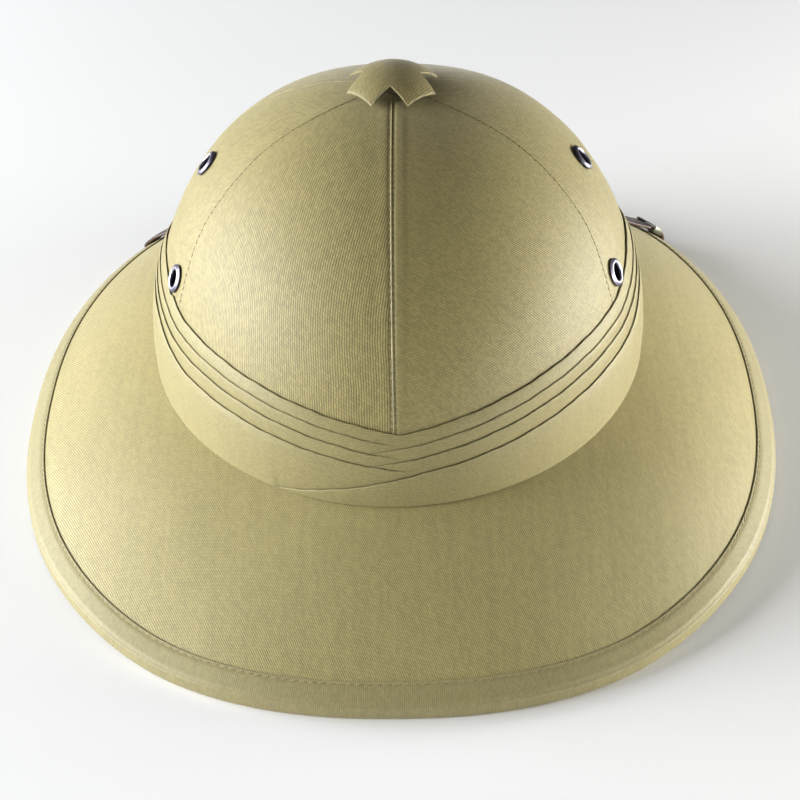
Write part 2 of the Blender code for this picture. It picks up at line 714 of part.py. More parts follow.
def smooth_stations(stations):
    """Fill in long stretches between the stations with a smooth curve."""
    places = [station.place for station in stations]
    widths = [station.width for station in stations]
    last = len(stations) - 1
    spans = [(places[k + 1] - places[k]).length for k in range(last)]

    def slope(values, k):
        before, after = max(k - 1, 0), min(k + 1, last)
        return (values[after] - values[before]) / sum(spans[before:after])

    filled = []
    for k in range(last):
        steps = max(1, round(spans[k] / STRAP_STEP))
        for step in range(steps):
            u = step / steps
            start, end = 2.0 * u ** 3 - 3.0 * u ** 2 + 1.0, 3.0 * u ** 2 - 2.0 * u ** 3
            leave, arrive = (u ** 3 - 2.0 * u ** 2 + u) * spans[k], (u ** 3 - u ** 2) * spans[k]
            place, width = [
                start * values[k] + end * values[k + 1]
                + leave * slope(values, k) + arrive * slope(values, k + 1)
                for values in (places, widths)
            ]
            filled.append(Station(place, width))
    filled.append(stations[-1])
    return filled


def mirror_x(vector):
    """The vector's mirror image on the helmet's other side."""
    return Vector((-vector.x, vector.y, vector.z))


def strap_path():
    """Whole strap, from its right end over the front to its left end."""
    right = strap_half(slide_lift=GAP + SLIDE_WALL)
    left = [Station(mirror_x(station.place), mirror_x(station.width)) for station in strap_half(0.0)]
    return smooth_stations(right + left[-2::-1])


def strap_frames(path):
    """Place, width direction, heading and face normal at each station of the strap."""
    frames = []
    for k, station in enumerate(path):
        ahead = (path[min(k + 1, len(path) - 1)].place - path[max(k - 1, 0)].place).normalized()
        width = (station.width - ahead * station.width.dot(ahead)).normalized()
        frames.append((station.place, width, ahead, width.cross(ahead)))
    return frames


def make_strap(frames):
    """Leather strap of even width and thickness."""
    sections = []
    for place, width, _, face in frames:
        across, through = width * STRAP_WIDTH / 2.0, face * STRAP_WALL / 2.0
        sections.append([place + across + through, place - across + through,
                         place - across - through, place + across - through])
    return sweep_sections("chin_strap", sections, LEATHER)


def make_slide(frames):
    """Flat metal loop round the strap on top of the rim, on the right."""
    middle = brim_point(STRAP_RIM_ANGLE, SLIDE_FROM_RIM)
    place, width, ahead, face = min(frames, key=lambda item: (item[0] - middle).length)
    half_in = STRAP_WIDTH / 2.0 + GAP
    deep_in = STRAP_WALL / 2.0 + GAP
    half_out, deep_out = half_in + 0.9 * MM, deep_in + SLIDE_WALL
    outer = [(-half_out, -deep_out), (half_out, -deep_out), (half_out, deep_out - 0.3 * MM),
             (half_out / 2.0, deep_out + SLIDE_CROWN), (-half_out / 2.0, deep_out + SLIDE_CROWN),
             (-half_out, deep_out - 0.3 * MM)]
    inner = [(-half_in, -deep_in), (half_in, -deep_in), (half_in, deep_in),
             (half_in / 2.0, deep_in), (-half_in / 2.0, deep_in), (-half_in, deep_in)]
    rings = []
    for outline, reach in ((outer, -0.5), (outer, 0.5), (inner, 0.5), (inner, -0.5)):
        base = place + ahead * SLIDE_LENGTH * reach
        rings.append([base + width * a + face * b for a, b in outline])
    return skin_rings("strap_slide", rings, NICKEL)


def make_anchors(strap):
    """Plain studs that hold the strap's ends to the inside of the crown."""
    shanks = []
    for side, sign in (("right", 1.0), ("left", -1.0)):
        angle = sign * STRAP_ANCHOR_ANGLE
        rise = crown_rise(angle, ANCHOR_HEIGHT)
        wall = crown_point(angle, rise, CROWN_WALL)
        frame = facing_frame(wall, -crown_normal(angle, rise))
        under_head = ANCHOR_STAND + STRAP_WALL + 2.0 * GAP
        profile = ((ANCHOR_SHANK, 2.2 * GAP), (ANCHOR_SHANK, under_head), (ANCHOR_HEAD, under_head),
                   (ANCHOR_HEAD, under_head + ANCHOR_HEAD_WALL))
        rings = []
        for radius, height in profile:
            rings.append([frame @ Vector((radius * math.cos(math.pi * k / 6.0),
                                          radius * math.sin(math.pi * k / 6.0), height)) for k in range(12)])
        poles = (frame @ Vector((0.0, 0.0, profile[0][1])), frame @ Vector((0.0, 0.0, profile[-1][1])))
        skin_rings("strap_anchor_" + side, rings, NICKEL, poles)
        shanks.append(frame)
    cut(strap, cylinder_cutters("anchor_holes", shanks, ANCHOR_SHANK + GAP, 12.0 * MM))


def main():
    """Clear the scene and build the helmet."""
    for item in list(bpy.data.objects):
        bpy.data.objects.remove(item, do_unlink=True)
    crown = make_crown()
    make_brim()
    make_binding()
    strips = [make_strip(index) for index in range(len(STRIPS))]
    make_cap()
    make_eyelets(crown, strips[0])
    frames = strap_frames(strap_path())
    strap = make_strap(frames)
    make_slide(frames)
    make_anchors(strap)


main()
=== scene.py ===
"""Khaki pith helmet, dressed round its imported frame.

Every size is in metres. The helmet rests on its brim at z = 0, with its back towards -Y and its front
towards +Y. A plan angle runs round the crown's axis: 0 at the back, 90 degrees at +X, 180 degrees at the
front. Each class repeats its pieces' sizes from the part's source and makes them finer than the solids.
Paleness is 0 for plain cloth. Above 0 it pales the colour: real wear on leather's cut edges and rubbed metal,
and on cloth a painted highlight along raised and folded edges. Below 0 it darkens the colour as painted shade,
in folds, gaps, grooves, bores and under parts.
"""

from __future__ import annotations

import json
import logging
import math
from dataclasses import dataclass
from enum import Enum
from typing import Iterable, Sequence

import bmesh
import bpy
import numpy as np
from mathutils import Matrix, Vector

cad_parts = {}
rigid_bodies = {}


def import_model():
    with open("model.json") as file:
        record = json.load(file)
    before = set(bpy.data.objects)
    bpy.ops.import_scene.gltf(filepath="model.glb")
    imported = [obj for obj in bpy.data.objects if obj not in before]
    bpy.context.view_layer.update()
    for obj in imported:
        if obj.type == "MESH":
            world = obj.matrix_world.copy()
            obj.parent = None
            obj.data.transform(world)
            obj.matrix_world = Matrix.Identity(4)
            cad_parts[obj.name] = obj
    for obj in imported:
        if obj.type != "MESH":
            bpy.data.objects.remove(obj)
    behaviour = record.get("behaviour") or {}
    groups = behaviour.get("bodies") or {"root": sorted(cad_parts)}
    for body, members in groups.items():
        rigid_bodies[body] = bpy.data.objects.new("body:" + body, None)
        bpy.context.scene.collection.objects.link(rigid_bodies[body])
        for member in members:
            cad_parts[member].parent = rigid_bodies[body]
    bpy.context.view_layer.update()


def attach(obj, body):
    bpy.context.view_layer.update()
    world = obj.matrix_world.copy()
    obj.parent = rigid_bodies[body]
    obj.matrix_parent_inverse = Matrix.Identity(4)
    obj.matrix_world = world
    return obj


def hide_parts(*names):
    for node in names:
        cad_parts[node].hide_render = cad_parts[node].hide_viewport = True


MM = 0.001
GAP = 0.3 * MM
BODY = "root"
CLOTH_MAP = "cloth"
# Name of the paleness attribute, which carries real wear, painted highlights and painted shade.
WEAR_AND_PAINTED_LIGHT = "wear_and_painted_light"
FACE = "face"
MERGE = 2e-6
TINY = 1e-9
TURN = 2.0 * math.pi
QUARTER = TURN / 4.0
SIDE_SEAM, FOLD_SEAM = 68.0, 109.0  # degrees to each side of the back
SIDES = (("right", 1.0), ("left", -1.0))

Array = np.ndarray
Number = np.ndarray | float
Triple = tuple[float, float, float]
Path = tuple[np.ndarray, np.ndarray]  # points along a path, and the surface's normal at each
Station = tuple[np.ndarray, np.ndarray]  # a place on the strap's middle line, and the direction across it
Material = bpy.types.Material
Piece = bpy.types.Object
Socket = bpy.types.NodeSocket

log = logging.getLogger("helmet")


# ------------------------------------------------------------------ small tools


def smoothstep(value: Number) -> Array:
    """Ease from 0 to 1 as value goes from 0 to 1, and stay level outside."""
    value = np.clip(value, 0.0, 1.0)
    return value * value * (3.0 - 2.0 * value)


def plateau(value: Array, start: float, ease: float, end: float, fade: float) -> Array:
    """Ease up to 1 after start, and down to 0 after end."""
    return smoothstep((value - start) / ease) * (1.0 - smoothstep((value - end) / fade))


def bell(distance: Array, width: float) -> Array:
    """Bump of height 1 round zero."""
    return np.exp(-(distance / width) ** 2)


def unit(vectors: Array) -> Array:
    """Scale the last axis of an array to length one."""
    return vectors / np.maximum(np.linalg.norm(vectors, axis=-1, keepdims=True), 1e-12)


def level(*values: Number) -> list[Array]:
    """Bring numbers and arrays to one shape."""
    return np.broadcast_arrays(*(np.asarray(value, float) for value in values))


def arc_lengths(points: Array) -> Array:
    """Distance along a row of points, from the first to each."""
    steps = np.linalg.norm(np.diff(points, axis=0), axis=1)
    return np.concatenate(([0.0], np.cumsum(steps)))


def map_grid(along: Array, across: Array) -> Array:
    """Cloth coordinates of a grid, from those of its columns and rows."""
    return np.stack(np.meshgrid(along, across), -1)


def lofted(lines: Iterable[tuple[Array, float]]) -> tuple[Array, Array]:
    """Points of a row of lines, and each line's paleness."""
    points, wear_and_painted_light = (np.array(part) for part in zip(*lines))
    return points, wear_and_painted_light[:, None]


def turned_map(across: Number, up: Number, turn: float) -> Array:
    """Cloth coordinates turned by an angle."""
    sine, cosine = math.sin(turn), math.cos(turn)
    return np.stack((across * cosine - up * sine, across * sine + up * cosine), -1)


def ripple(points: Array, amplitude: float, wavelength: float, seed: int, waves: int = 7) -> Array:
    """Unevenness of a surface at its points, as a sum of waves in fixed directions."""
    random = np.random.default_rng(seed)
    height = np.zeros(points.shape[:-1])
    for _ in range(waves):
        heading = unit(random.normal(size=3))
        length = wavelength * (0.45 + 0.55 * random.random())
        height += np.sin(points @ heading * TURN / length + random.random() * TURN)
    return height * amplitude / 3.0


def frame_at(place: Array, normal: Array) -> Matrix:
    """Frame at a place, with Z along the normal and X level."""
    ahead = Vector(normal)
    side = Vector((0.0, 0.0, 1.0)).cross(ahead).normalized()
    turn = Matrix((side, ahead.cross(side), ahead)).transposed().to_4x4()
    return Matrix.Translation(Vector(place)) @ turn


def linked(name: str, data: bpy.types.ID) -> Piece:
    """Put a new object in the scene."""
    item = bpy.data.objects.new(name, data)
    bpy.context.scene.collection.objects.link(item)
    return item


class MeshDraft:
    """Collects grids of points and turns them into one closed mesh."""

    def __init__(self) -> None:
        """Start with nothing."""
        self.points: list[Array] = []
        self.wear_and_painted_light: list[Array] = []
        self.faces: list[Array] = []
        self.coords: list[Array] = []
        self.count = 0

    def add_grid(self, points: Array, coords: Array, wear_and_painted_light: Number = 0.0) -> MeshDraft:
        """Add rows and columns of points, with their cloth coordinates and paleness."""
        rows, columns = points.shape[:2]
        index = np.arange(rows * columns).reshape(rows, columns)
        corners = np.stack((index[:-1, :-1], index[:-1, 1:], index[1:, 1:], index[1:, :-1]), -1).reshape(-1, 4)
        self.points.append(points.reshape(-1, 3))
        self.wear_and_painted_light.append(np.broadcast_to(wear_and_painted_light, (rows, columns)).reshape(-1))
        self.faces.append(corners + self.count)
        self.coords.append(coords.reshape(-1, 2)[corners])
        self.count += rows * columns
        return self

    def add_end(self, ring: Array, coords: Array) -> None:
        """Close an end by pairing the first half of its outline with the second."""
        half = len(ring) // 2
        self.add_grid(*(np.stack((rim[:half], rim[::-1][:half])) for rim in (ring, coords)))

    def build(self, name: str, material: Material, crease: float = 38.0) -> Piece:
        """Join the grids where they meet, and keep edges sharp above the crease angle in degrees."""
        mesh = bpy.data.meshes.new(name)
        mesh.from_pydata(np.concatenate(self.points).tolist(), [], np.concatenate(self.faces).tolist())
        layer = mesh.uv_layers.new(name=CLOTH_MAP)
        layer.data.foreach_set("uv", np.concatenate(self.coords).astype(np.float32).ravel())
        wear_and_painted_light = mesh.attributes.new(WEAR_AND_PAINTED_LIGHT, "FLOAT", "POINT")
        wear_and_painted_light.data.foreach_set("value", np.concatenate(self.wear_and_painted_light).astype(np.float32))
        mesh.materials.append(material)
        work = bmesh.new()
        work.from_mesh(mesh)
        bmesh.ops.remove_doubles(work, verts=work.verts, dist=MERGE)
        bmesh.ops.dissolve_degenerate(work, edges=work.edges, dist=MERGE / 4.0)
        bmesh.ops.recalc_face_normals(work, faces=work.faces)
        work.to_mesh(mesh)
        work.free()
        mesh.shade_smooth()
        mesh.set_sharp_from_angle(angle=math.radians(crease))
        return linked(name, mesh)


def settle(piece: Piece, slot: str, *nodes: str) -> None:
    """Hand a finished piece to the frame and hide the CAD nodes it stands for. The slot is not used."""
    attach(piece, BODY)
    if nodes:
        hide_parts(*nodes)
    log.info("%s: %d faces", piece.name, len(piece.data.polygons))


def bake_modifiers(piece: Piece) -> None:
    """Replace a piece's mesh by its modifiers' result and remove them."""
    bpy.context.view_layer.update()
    evaluated = piece.evaluated_get(bpy.context.evaluated_depsgraph_get())
    mesh = bpy.data.meshes.new_from_object(evaluated)
    mesh.name = piece.name
    piece.modifiers.clear()
    piece.data = mesh


def cut(piece: Piece, places: Iterable[Matrix], radius: float, depth: float) -> None:
    """Bore round holes through a piece, along the Z axis of each place."""
    work = bmesh.new()
    for place in places:
        bmesh.ops.create_cone(work, cap_ends=True, segments=40, radius1=radius, radius2=radius,
                              depth=depth, matrix=place)
    mesh = bpy.data.meshes.new("bores")
    work.to_mesh(mesh)
    work.free()
    cutter = linked("bores", mesh)
    modifier = piece.modifiers.new("bores", "BOOLEAN")
    modifier.operation = "DIFFERENCE"
    modifier.solver = "EXACT"
    modifier.object = cutter
    bake_modifiers(piece)
    bpy.data.objects.remove(cutter, do_unlink=True)
    bpy.data.meshes.remove(mesh)


def turned(name: str, profile: Sequence[Triple], segments: int, frame: Matrix, material: Material) -> Piece:
    """Turn a profile of radius, height and paleness round a frame's Z axis."""
    turn = np.linspace(0.0, TURN, segments + 1)
    local, wear_and_painted_light = lofted((np.stack(level(radius * np.cos(turn), radius * np.sin(turn), height), -1), paleness)
                         for radius, height, paleness in profile)
    matrix = np.array(frame)
    points = local @ matrix[:3, :3].T + matrix[:3, 3]
    coords = map_grid(turn * 0.004, arc_lengths(local[:, 0]))
    return MeshDraft().add_grid(points, coords, wear_and_painted_light).build(name, material, crease=45.0)


# ------------------------------------------------------------------ materials


class NodeGraph:
    """Adds and links nodes in one tree."""

    def __init__(self, tree: bpy.types.NodeTree) -> None:
        """Keep the tree."""
        self.tree = tree

    def add(self, kind: str, inputs: dict | None = None, **settings: object) -> bpy.types.Node:
        """Add a node, with a value or a link for each input and with its own properties."""
        node = self.tree.nodes.new(kind)
        for name, value in settings.items():
            setattr(node, name, value)
        for key, value in (inputs or {}).items():
            if isinstance(value, Socket):
                self.tree.links.new(value, node.inputs[key])
            else:
                node.inputs[key].default_value = value
        return node

    def out(self, kind: str, inputs: dict | None = None, **settings: object) -> Socket:
        """Add a node and return its first output."""
        return self.add(kind, inputs, **settings).outputs[0]

    def math(self, operation: str, *values: object) -> Socket:
        """Add a Math node and return its output."""
        return self.out("ShaderNodeMath", dict(enumerate(values)), operation=operation)

    def line(self, value: Socket, factor: float, start: float) -> Socket:
        """Multiply a value and add to it."""
        return self.math("ADD", self.math("MULTIPLY", value, factor), start)

    def swing(self, value: Socket, factor: float) -> Socket:
        """Turn a value from 0 to 1 into one either side of zero."""
        return self.math("MULTIPLY", self.math("SUBTRACT", value, 0.5), factor)

    def arches(self, value: Socket) -> Socket:
        """Rise from 0 to 1 and back over each whole step of a value."""
        return self.math("SINE", self.math("MULTIPLY", self.math("FRACT", value), math.pi))

    def mix(self, factor: Socket, first: Socket | Triple, second: Triple) -> Socket:
        """Mix two colours and return the result."""
        first = first if isinstance(first, Socket) else (*first, 1.0)
        inputs = {0: factor, 6: first, 7: (*second, 1.0)}
        return self.add("ShaderNodeMix", inputs, data_type="RGBA", clamp_factor=True).outputs[2]

    def scaled(self, colour: Triple, tone: Socket) -> Socket:
        """Make a colour lighter or darker by a factor."""
        return self.out("ShaderNodeVectorMath", {0: colour, 3: tone}, operation="SCALE")

    def noise(self, place: Socket, scale: float, detail: float = 2.0) -> Socket:
        """Add a Noise node and return its value."""
        inputs = {"Vector": place, "Scale": scale, "Detail": detail, "Roughness": 0.55}
        return self.add("ShaderNodeTexNoise", inputs).outputs["Fac"]

    def objects(self) -> Socket:
        """Places in the piece's own coordinates."""
        return self.add("ShaderNodeTexCoord").outputs["Object"]

    def wear_and_painted_light(self) -> Socket:
        """Paleness of each point: real wear, painted highlights and painted shade."""
        return self.add("ShaderNodeAttribute", attribute_name=WEAR_AND_PAINTED_LIGHT).outputs["Fac"]

    def bump(self, strength: float, distance: float, height: Socket) -> Socket:
        """Add a Bump node and return its normal."""
        inputs = {"Strength": strength, "Distance": distance, "Height": height}
        return self.out("ShaderNodeBump", inputs)

    def between(self, value: Socket, low: float, high: float) -> Socket:
        """Bring a value from 0 to 1 to a new range."""
        return self.out("ShaderNodeMapRange", {"Value": value, 3: low, 4: high})


@dataclass(frozen=True)
class Finish:
    """A named finish with its main colour."""

    name: str
    colour: Triple

    def material(self) -> Material:
        """Build the material."""
        material = bpy.data.materials.new(self.name)
        material.use_nodes = True
        material.node_tree.nodes.clear()
        graph = NodeGraph(material.node_tree)
        graph.add("ShaderNodeOutputMaterial", {0: graph.out("ShaderNodeBsdfPrincipled", self.surface(graph))})
        return material

    def surface(self, graph: NodeGraph) -> dict[str, object]:
        """Inputs of the shader, which each kind of finish states."""
        raise NotImplementedError


@dataclass(frozen=True)
class FloorFinish(Finish):
    """Plain pale studio floor."""

    def surface(self, graph: NodeGraph) -> dict[str, object]:
        """Inputs of the shader."""
        dull = tuple(0.985 * value for value in self.colour)
        tone = graph.mix(graph.noise(graph.objects(), 3.0), self.colour, dull)
        return {"Base Color": tone, "Roughness": 0.9, "Specular IOR Level": 0.1}


class Weave(Enum):
    """How the floats of neighbouring ribs are staggered."""

    TWILL = 0.36
    PLAIN = 0.5


@dataclass(frozen=True)
class ClothFinish(Finish):
    """Woven cotton, with ribs of yarn floats.

    The ribs run along the cloth map's V, turned by rib_turn. Their colour is painted darker in the valleys and
    paler on the crests, as painted shade and light of the ribs.
    """

    # pale is the colour of rubbed edges and painted highlights; shade is the colour of painted shade.
    pale: Triple = (0.66, 0.60, 0.40)
    shade: Triple = (0.080, 0.062, 0.021)
    weave: Weave = Weave.TWILL
    rib_pitch: float = 0.86 * MM
    float_length: float = 1.5 * MM
    rib_turn: float = 0.0
    sway: float = 0.9
    painted_rib_shade: float = 1.15
    streak: float = 0.16
    fleck: float = 0.30
    relief: float = 0.05 * MM
    mottle: float = 0.12
    roughness: float = 0.55
    specular: float = 0.5
    sheen: float = 0.22
    sheen_roughness: float = 0.5
    sheen_tint: Triple = (1.0, 0.96, 0.86)

    def surface(self, graph: NodeGraph) -> dict[str, object]:
        """Inputs of the shader."""
        cloth = graph.add("ShaderNodeUVMap", uv_map=CLOTH_MAP).outputs["UV"]
        ribs = graph.out("ShaderNodeMapping", {"Vector": cloth, "Rotation": (0.0, 0.0, self.rib_turn)})
        split = graph.add("ShaderNodeSeparateXYZ", {0: ribs})
        sway = graph.swing(graph.noise(cloth, 160.0), self.sway)
        across = graph.math("ADD", graph.math("DIVIDE", split.outputs[0], self.rib_pitch), sway)
        cell = graph.math("FLOOR", across)
        along = graph.math("ADD", graph.math("DIVIDE", split.outputs[1], self.float_length),
                           graph.math("MULTIPLY", cell, self.weave.value))
        height = graph.math("MULTIPLY", graph.arches(across), graph.line(graph.arches(along), 0.25, 0.75))
        place = graph.out("ShaderNodeCombineXYZ", {0: cell, 1: graph.math("FLOOR", along)})
        fleck = graph.add("ShaderNodeTexWhiteNoise", {"Vector": place}, noise_dimensions="2D").outputs["Value"]
        objects = graph.objects()
        drawn = graph.out("ShaderNodeMapping", {"Vector": cloth, "Scale": (1.0, 0.07, 1.0)})
        # Painted shade and light: the colour darkens in the rib valleys and pales on the crests.
        tone = graph.swing(height, self.painted_rib_shade)
        for source, share in ((fleck, self.fleck), (graph.noise(objects, 22.0, 3.0), self.mottle),
                              (graph.noise(objects, 420.0), self.mottle),
                              (graph.noise(drawn, 330.0), self.streak)):
            tone = graph.math("ADD", tone, graph.swing(source, share))
        # Paleness above 0 mixes towards pale, for wear and painted highlights; below 0 towards shade, as
        # painted shade.
        wear_and_painted_light = graph.wear_and_painted_light()
        worn_and_highlit = graph.mix(wear_and_painted_light, graph.scaled(self.colour, graph.math("ADD", tone, 1.0)), self.pale)
        return {"Base Color": graph.mix(graph.math("MULTIPLY", wear_and_painted_light, -1.0), worn_and_highlit, self.shade),
                "Roughness": self.roughness, "Specular IOR Level": self.specular, "Sheen Weight": self.sheen,
                "Sheen Roughness": self.sheen_roughness, "Sheen Tint": (*self.sheen_tint, 1.0),
                "Normal": graph.bump(1.0, self.relief, height)}


@dataclass(frozen=True)
class ThreadFinish(Finish):
    """Twisted sewing thread or frayed yarn."""

    variation: float = 0.35
    roughness: float = 0.7

    def surface(self, graph: NodeGraph) -> dict[str, object]:
        """Inputs of the shader."""
        objects = graph.objects()
        tone = graph.math("ADD", graph.swing(graph.noise(objects, 900.0), 2.0 * self.variation), 1.0)
        return {"Base Color": graph.scaled(self.colour, tone), "Roughness": self.roughness,
                "Specular IOR Level": 0.3, "Sheen Weight": 0.2,
                "Normal": graph.bump(0.6, 0.05 * MM, graph.noise(objects, 3500.0, 1.0))}


@dataclass(frozen=True)
class LeatherFinish(Finish):
    """Dyed leather whose cut edges show a paler tan."""

    edge: Triple = (0.105, 0.042, 0.015)
    grain: float = 0.09 * MM

    def surface(self, graph: NodeGraph) -> dict[str, object]:
        """Inputs of the shader."""
        objects = graph.objects()
        pebble = graph.add("ShaderNodeTexVoronoi", {"Vector": objects, "Scale": 1500.0},
                           feature="DISTANCE_TO_EDGE").outputs["Distance"]
        crease = graph.noise(objects, 220.0, 4.0)
        height = graph.math("ADD", graph.math("MULTIPLY", pebble, 1.2), graph.math("MULTIPLY", crease, 0.8))
        rubbed = graph.math("MULTIPLY", graph.wear_and_painted_light(), graph.line(crease, 1.1, 0.35))
        patches = graph.math("MULTIPLY", graph.noise(objects, 60.0), 0.35)
        colour = graph.mix(patches, graph.mix(rubbed, self.colour, self.edge),
                           tuple(1.9 * value for value in self.colour))
        return {"Base Color": colour, "Roughness": graph.between(crease, 0.34, 0.58), "Specular IOR Level": 0.5,
                "Coat Weight": 0.15, "Coat Roughness": 0.3, "Normal": graph.bump(0.7, self.grain, height)}


@dataclass(frozen=True)
class MetalFinish(Finish):
    """Plated metal with fine random smears, and painted shade where paleness is below zero: in bores, openings
    and hollows, and as a painted dark reflection round an eyelet's flange.
    """

    painted_shade: Triple
    roughness: tuple[float, float]

    def surface(self, graph: NodeGraph) -> dict[str, object]:
        """Inputs of the shader."""
        objects = graph.objects()
        smear = graph.noise(objects, 260.0, 4.0)
        # Paleness below zero paints shade in hollows and bores; above zero it keeps rubbed rims clear of the
        # smears.
        hollow_shade = graph.math("MULTIPLY", graph.wear_and_painted_light(), -0.8)
        smear_and_shade = graph.math("ADD", graph.math("MULTIPLY", smear, 0.35), hollow_shade)
        return {"Base Color": graph.mix(smear_and_shade, self.colour, self.painted_shade), "Metallic": 1.0,
                "Roughness": graph.between(smear, *self.roughness),
                "Normal": graph.bump(0.25, 0.02 * MM, graph.noise(objects, 2600.0))}


FINISHES = (
    ClothFinish("crown_cloth", (0.236, 0.197, 0.071)),
    ClothFinish("brim_cloth", (0.294, 0.248, 0.097), rib_turn=math.radians(-28.0), rib_pitch=0.64 * MM,
                painted_rib_shade=1.0, streak=0.26, fleck=0.20, mottle=0.09),
    ClothFinish("binding_cloth", (0.268, 0.230, 0.100), rib_pitch=0.7 * MM, float_length=1.1 * MM,
                painted_rib_shade=0.45, fleck=0.2, relief=0.04 * MM),
    ClothFinish("pugaree_cloth", (0.250, 0.212, 0.083), weave=Weave.PLAIN, rib_pitch=0.62 * MM,
                float_length=0.7 * MM, rib_turn=math.radians(90.0), painted_rib_shade=0.45, fleck=0.22,
                relief=0.03 * MM, mottle=0.07),
    ClothFinish("cap_cloth", (0.190, 0.157, 0.055), rib_pitch=0.75 * MM, float_length=1.6 * MM, painted_rib_shade=1.1),
    ThreadFinish("raw_edge", (0.50, 0.45, 0.28)),
    # Dark seam thread, dark also as painted shade for the stitch holes.
    ThreadFinish("seam_thread_and_shade", (0.15, 0.12, 0.05)),
    ThreadFinish("binding_thread", (0.33, 0.275, 0.115)),
    LeatherFinish("strap_leather", (0.022, 0.012, 0.009)),
    MetalFinish("nickel", (0.46, 0.455, 0.53), (0.085, 0.075, 0.10), (0.30, 0.46)),
    MetalFinish("slide_metal", (0.21, 0.215, 0.165), (0.07, 0.072, 0.05), (0.40, 0.55)),
)


# ------------------------------------------------------------------ stitches, by Geometry Nodes


@dataclass(frozen=True)
class StitchRow:
    """A row of stitches along a path on a surface."""

    pitch: float
    length: float
    thickness: float
    slant: float = 0.0
    lift: float = 0.0
    waver: float = 0.12
    seed: int = 7

    def make(self, name: str, paths: Sequence[Path], thread: Material) -> Piece:
        """Lay stitches along paths, each given by its points and the surface's normals there."""
        mesh = bpy.data.meshes.new(name)
        points, normals = (np.concatenate(rows) for rows in zip(*paths))
        ends = np.cumsum([len(path) for path, _ in paths]).tolist()
        mesh.from_pydata(points.tolist(), [(k, k + 1) for k in range(ends[-1] - 1) if k + 1 not in ends], [])
        face = mesh.attributes.new(FACE, "FLOAT_VECTOR", "POINT")
        face.data.foreach_set("vector", normals.astype(np.float32).ravel())
        piece = linked(name, mesh)
        piece.modifiers.new("stitches", "NODES").node_group = self.tree(thread)
        bake_modifiers(piece)
        return piece

    def tree(self, thread: Material) -> bpy.types.NodeTree:
        """Build the tree that lays capsules along a path."""
        tree = bpy.data.node_groups.new("stitch_row", "GeometryNodeTree")
        for label, direction in (("Path", "INPUT"), ("Stitches", "OUTPUT")):
            tree.interface.new_socket(label, in_out=direction, socket_type="NodeSocketGeometry")
        graph = NodeGraph(tree)
        curve = graph.out("GeometryNodeMeshToCurve", {0: graph.out("NodeGroupInput")})
        spaced = graph.out("GeometryNodeResampleCurve", {"Curve": curve, "Length": self.pitch}, mode="LENGTH")
        heading = graph.out("GeometryNodeInputTangent")
        face = graph.out("GeometryNodeInputNamedAttribute", {"Name": FACE}, data_type="FLOAT_VECTOR")
        turn = graph.out("FunctionNodeAxesToRotation", {0: face, 1: heading}, primary_axis="Z",
                         secondary_axis="X")

        def uneven(number: int) -> Socket:
            """Random number for each stitch, either side of zero."""
            inputs = {2: -self.waver, 3: self.waver, "Seed": self.seed + number}
            return graph.add("FunctionNodeRandomValue", inputs, data_type="FLOAT").outputs[1]

        slant = graph.math("ADD", self.slant, uneven(1))
        twist = graph.out("FunctionNodeAxisAngleToRotation", {0: (0.0, 0.0, 1.0), 1: slant})
        laid = graph.out("FunctionNodeRotateRotation", {0: turn, 1: twist}, rotation_space="LOCAL")
        long = graph.math("MULTIPLY", self.length, graph.math("ADD", uneven(2), 1.0))
        half_long, half_thick = graph.math("MULTIPLY", long, 0.5), 0.5 * self.thickness
        scale = graph.out("ShaderNodeCombineXYZ", {0: half_long, 1: half_thick, 2: half_thick})
        capsule = graph.out("GeometryNodeMeshUVSphere", {"Segments": 6, "Rings": 5, "Radius": 1.0})
        placed = graph.out("GeometryNodeInstanceOnPoints", {"Points": spaced, "Instance": capsule,
                                                            "Rotation": laid, "Scale": scale})
        lift = graph.out("ShaderNodeCombineXYZ", {2: graph.math("DIVIDE", self.lift, half_thick)})
        raised = graph.out("GeometryNodeTranslateInstances", {"Instances": placed, "Translation": lift,
                                                              "Local Space": True})
        smooth = graph.out("GeometryNodeSetShadeSmooth", {0: raised})
        solid = graph.out("GeometryNodeRealizeInstances", {0: smooth})
        threaded = graph.out("GeometryNodeSetMaterial", {"Geometry": solid, "Material": thread})
        graph.add("NodeGroupOutput", {0: threaded})
        return tree


# ------------------------------------------------------------------ the helmet's form


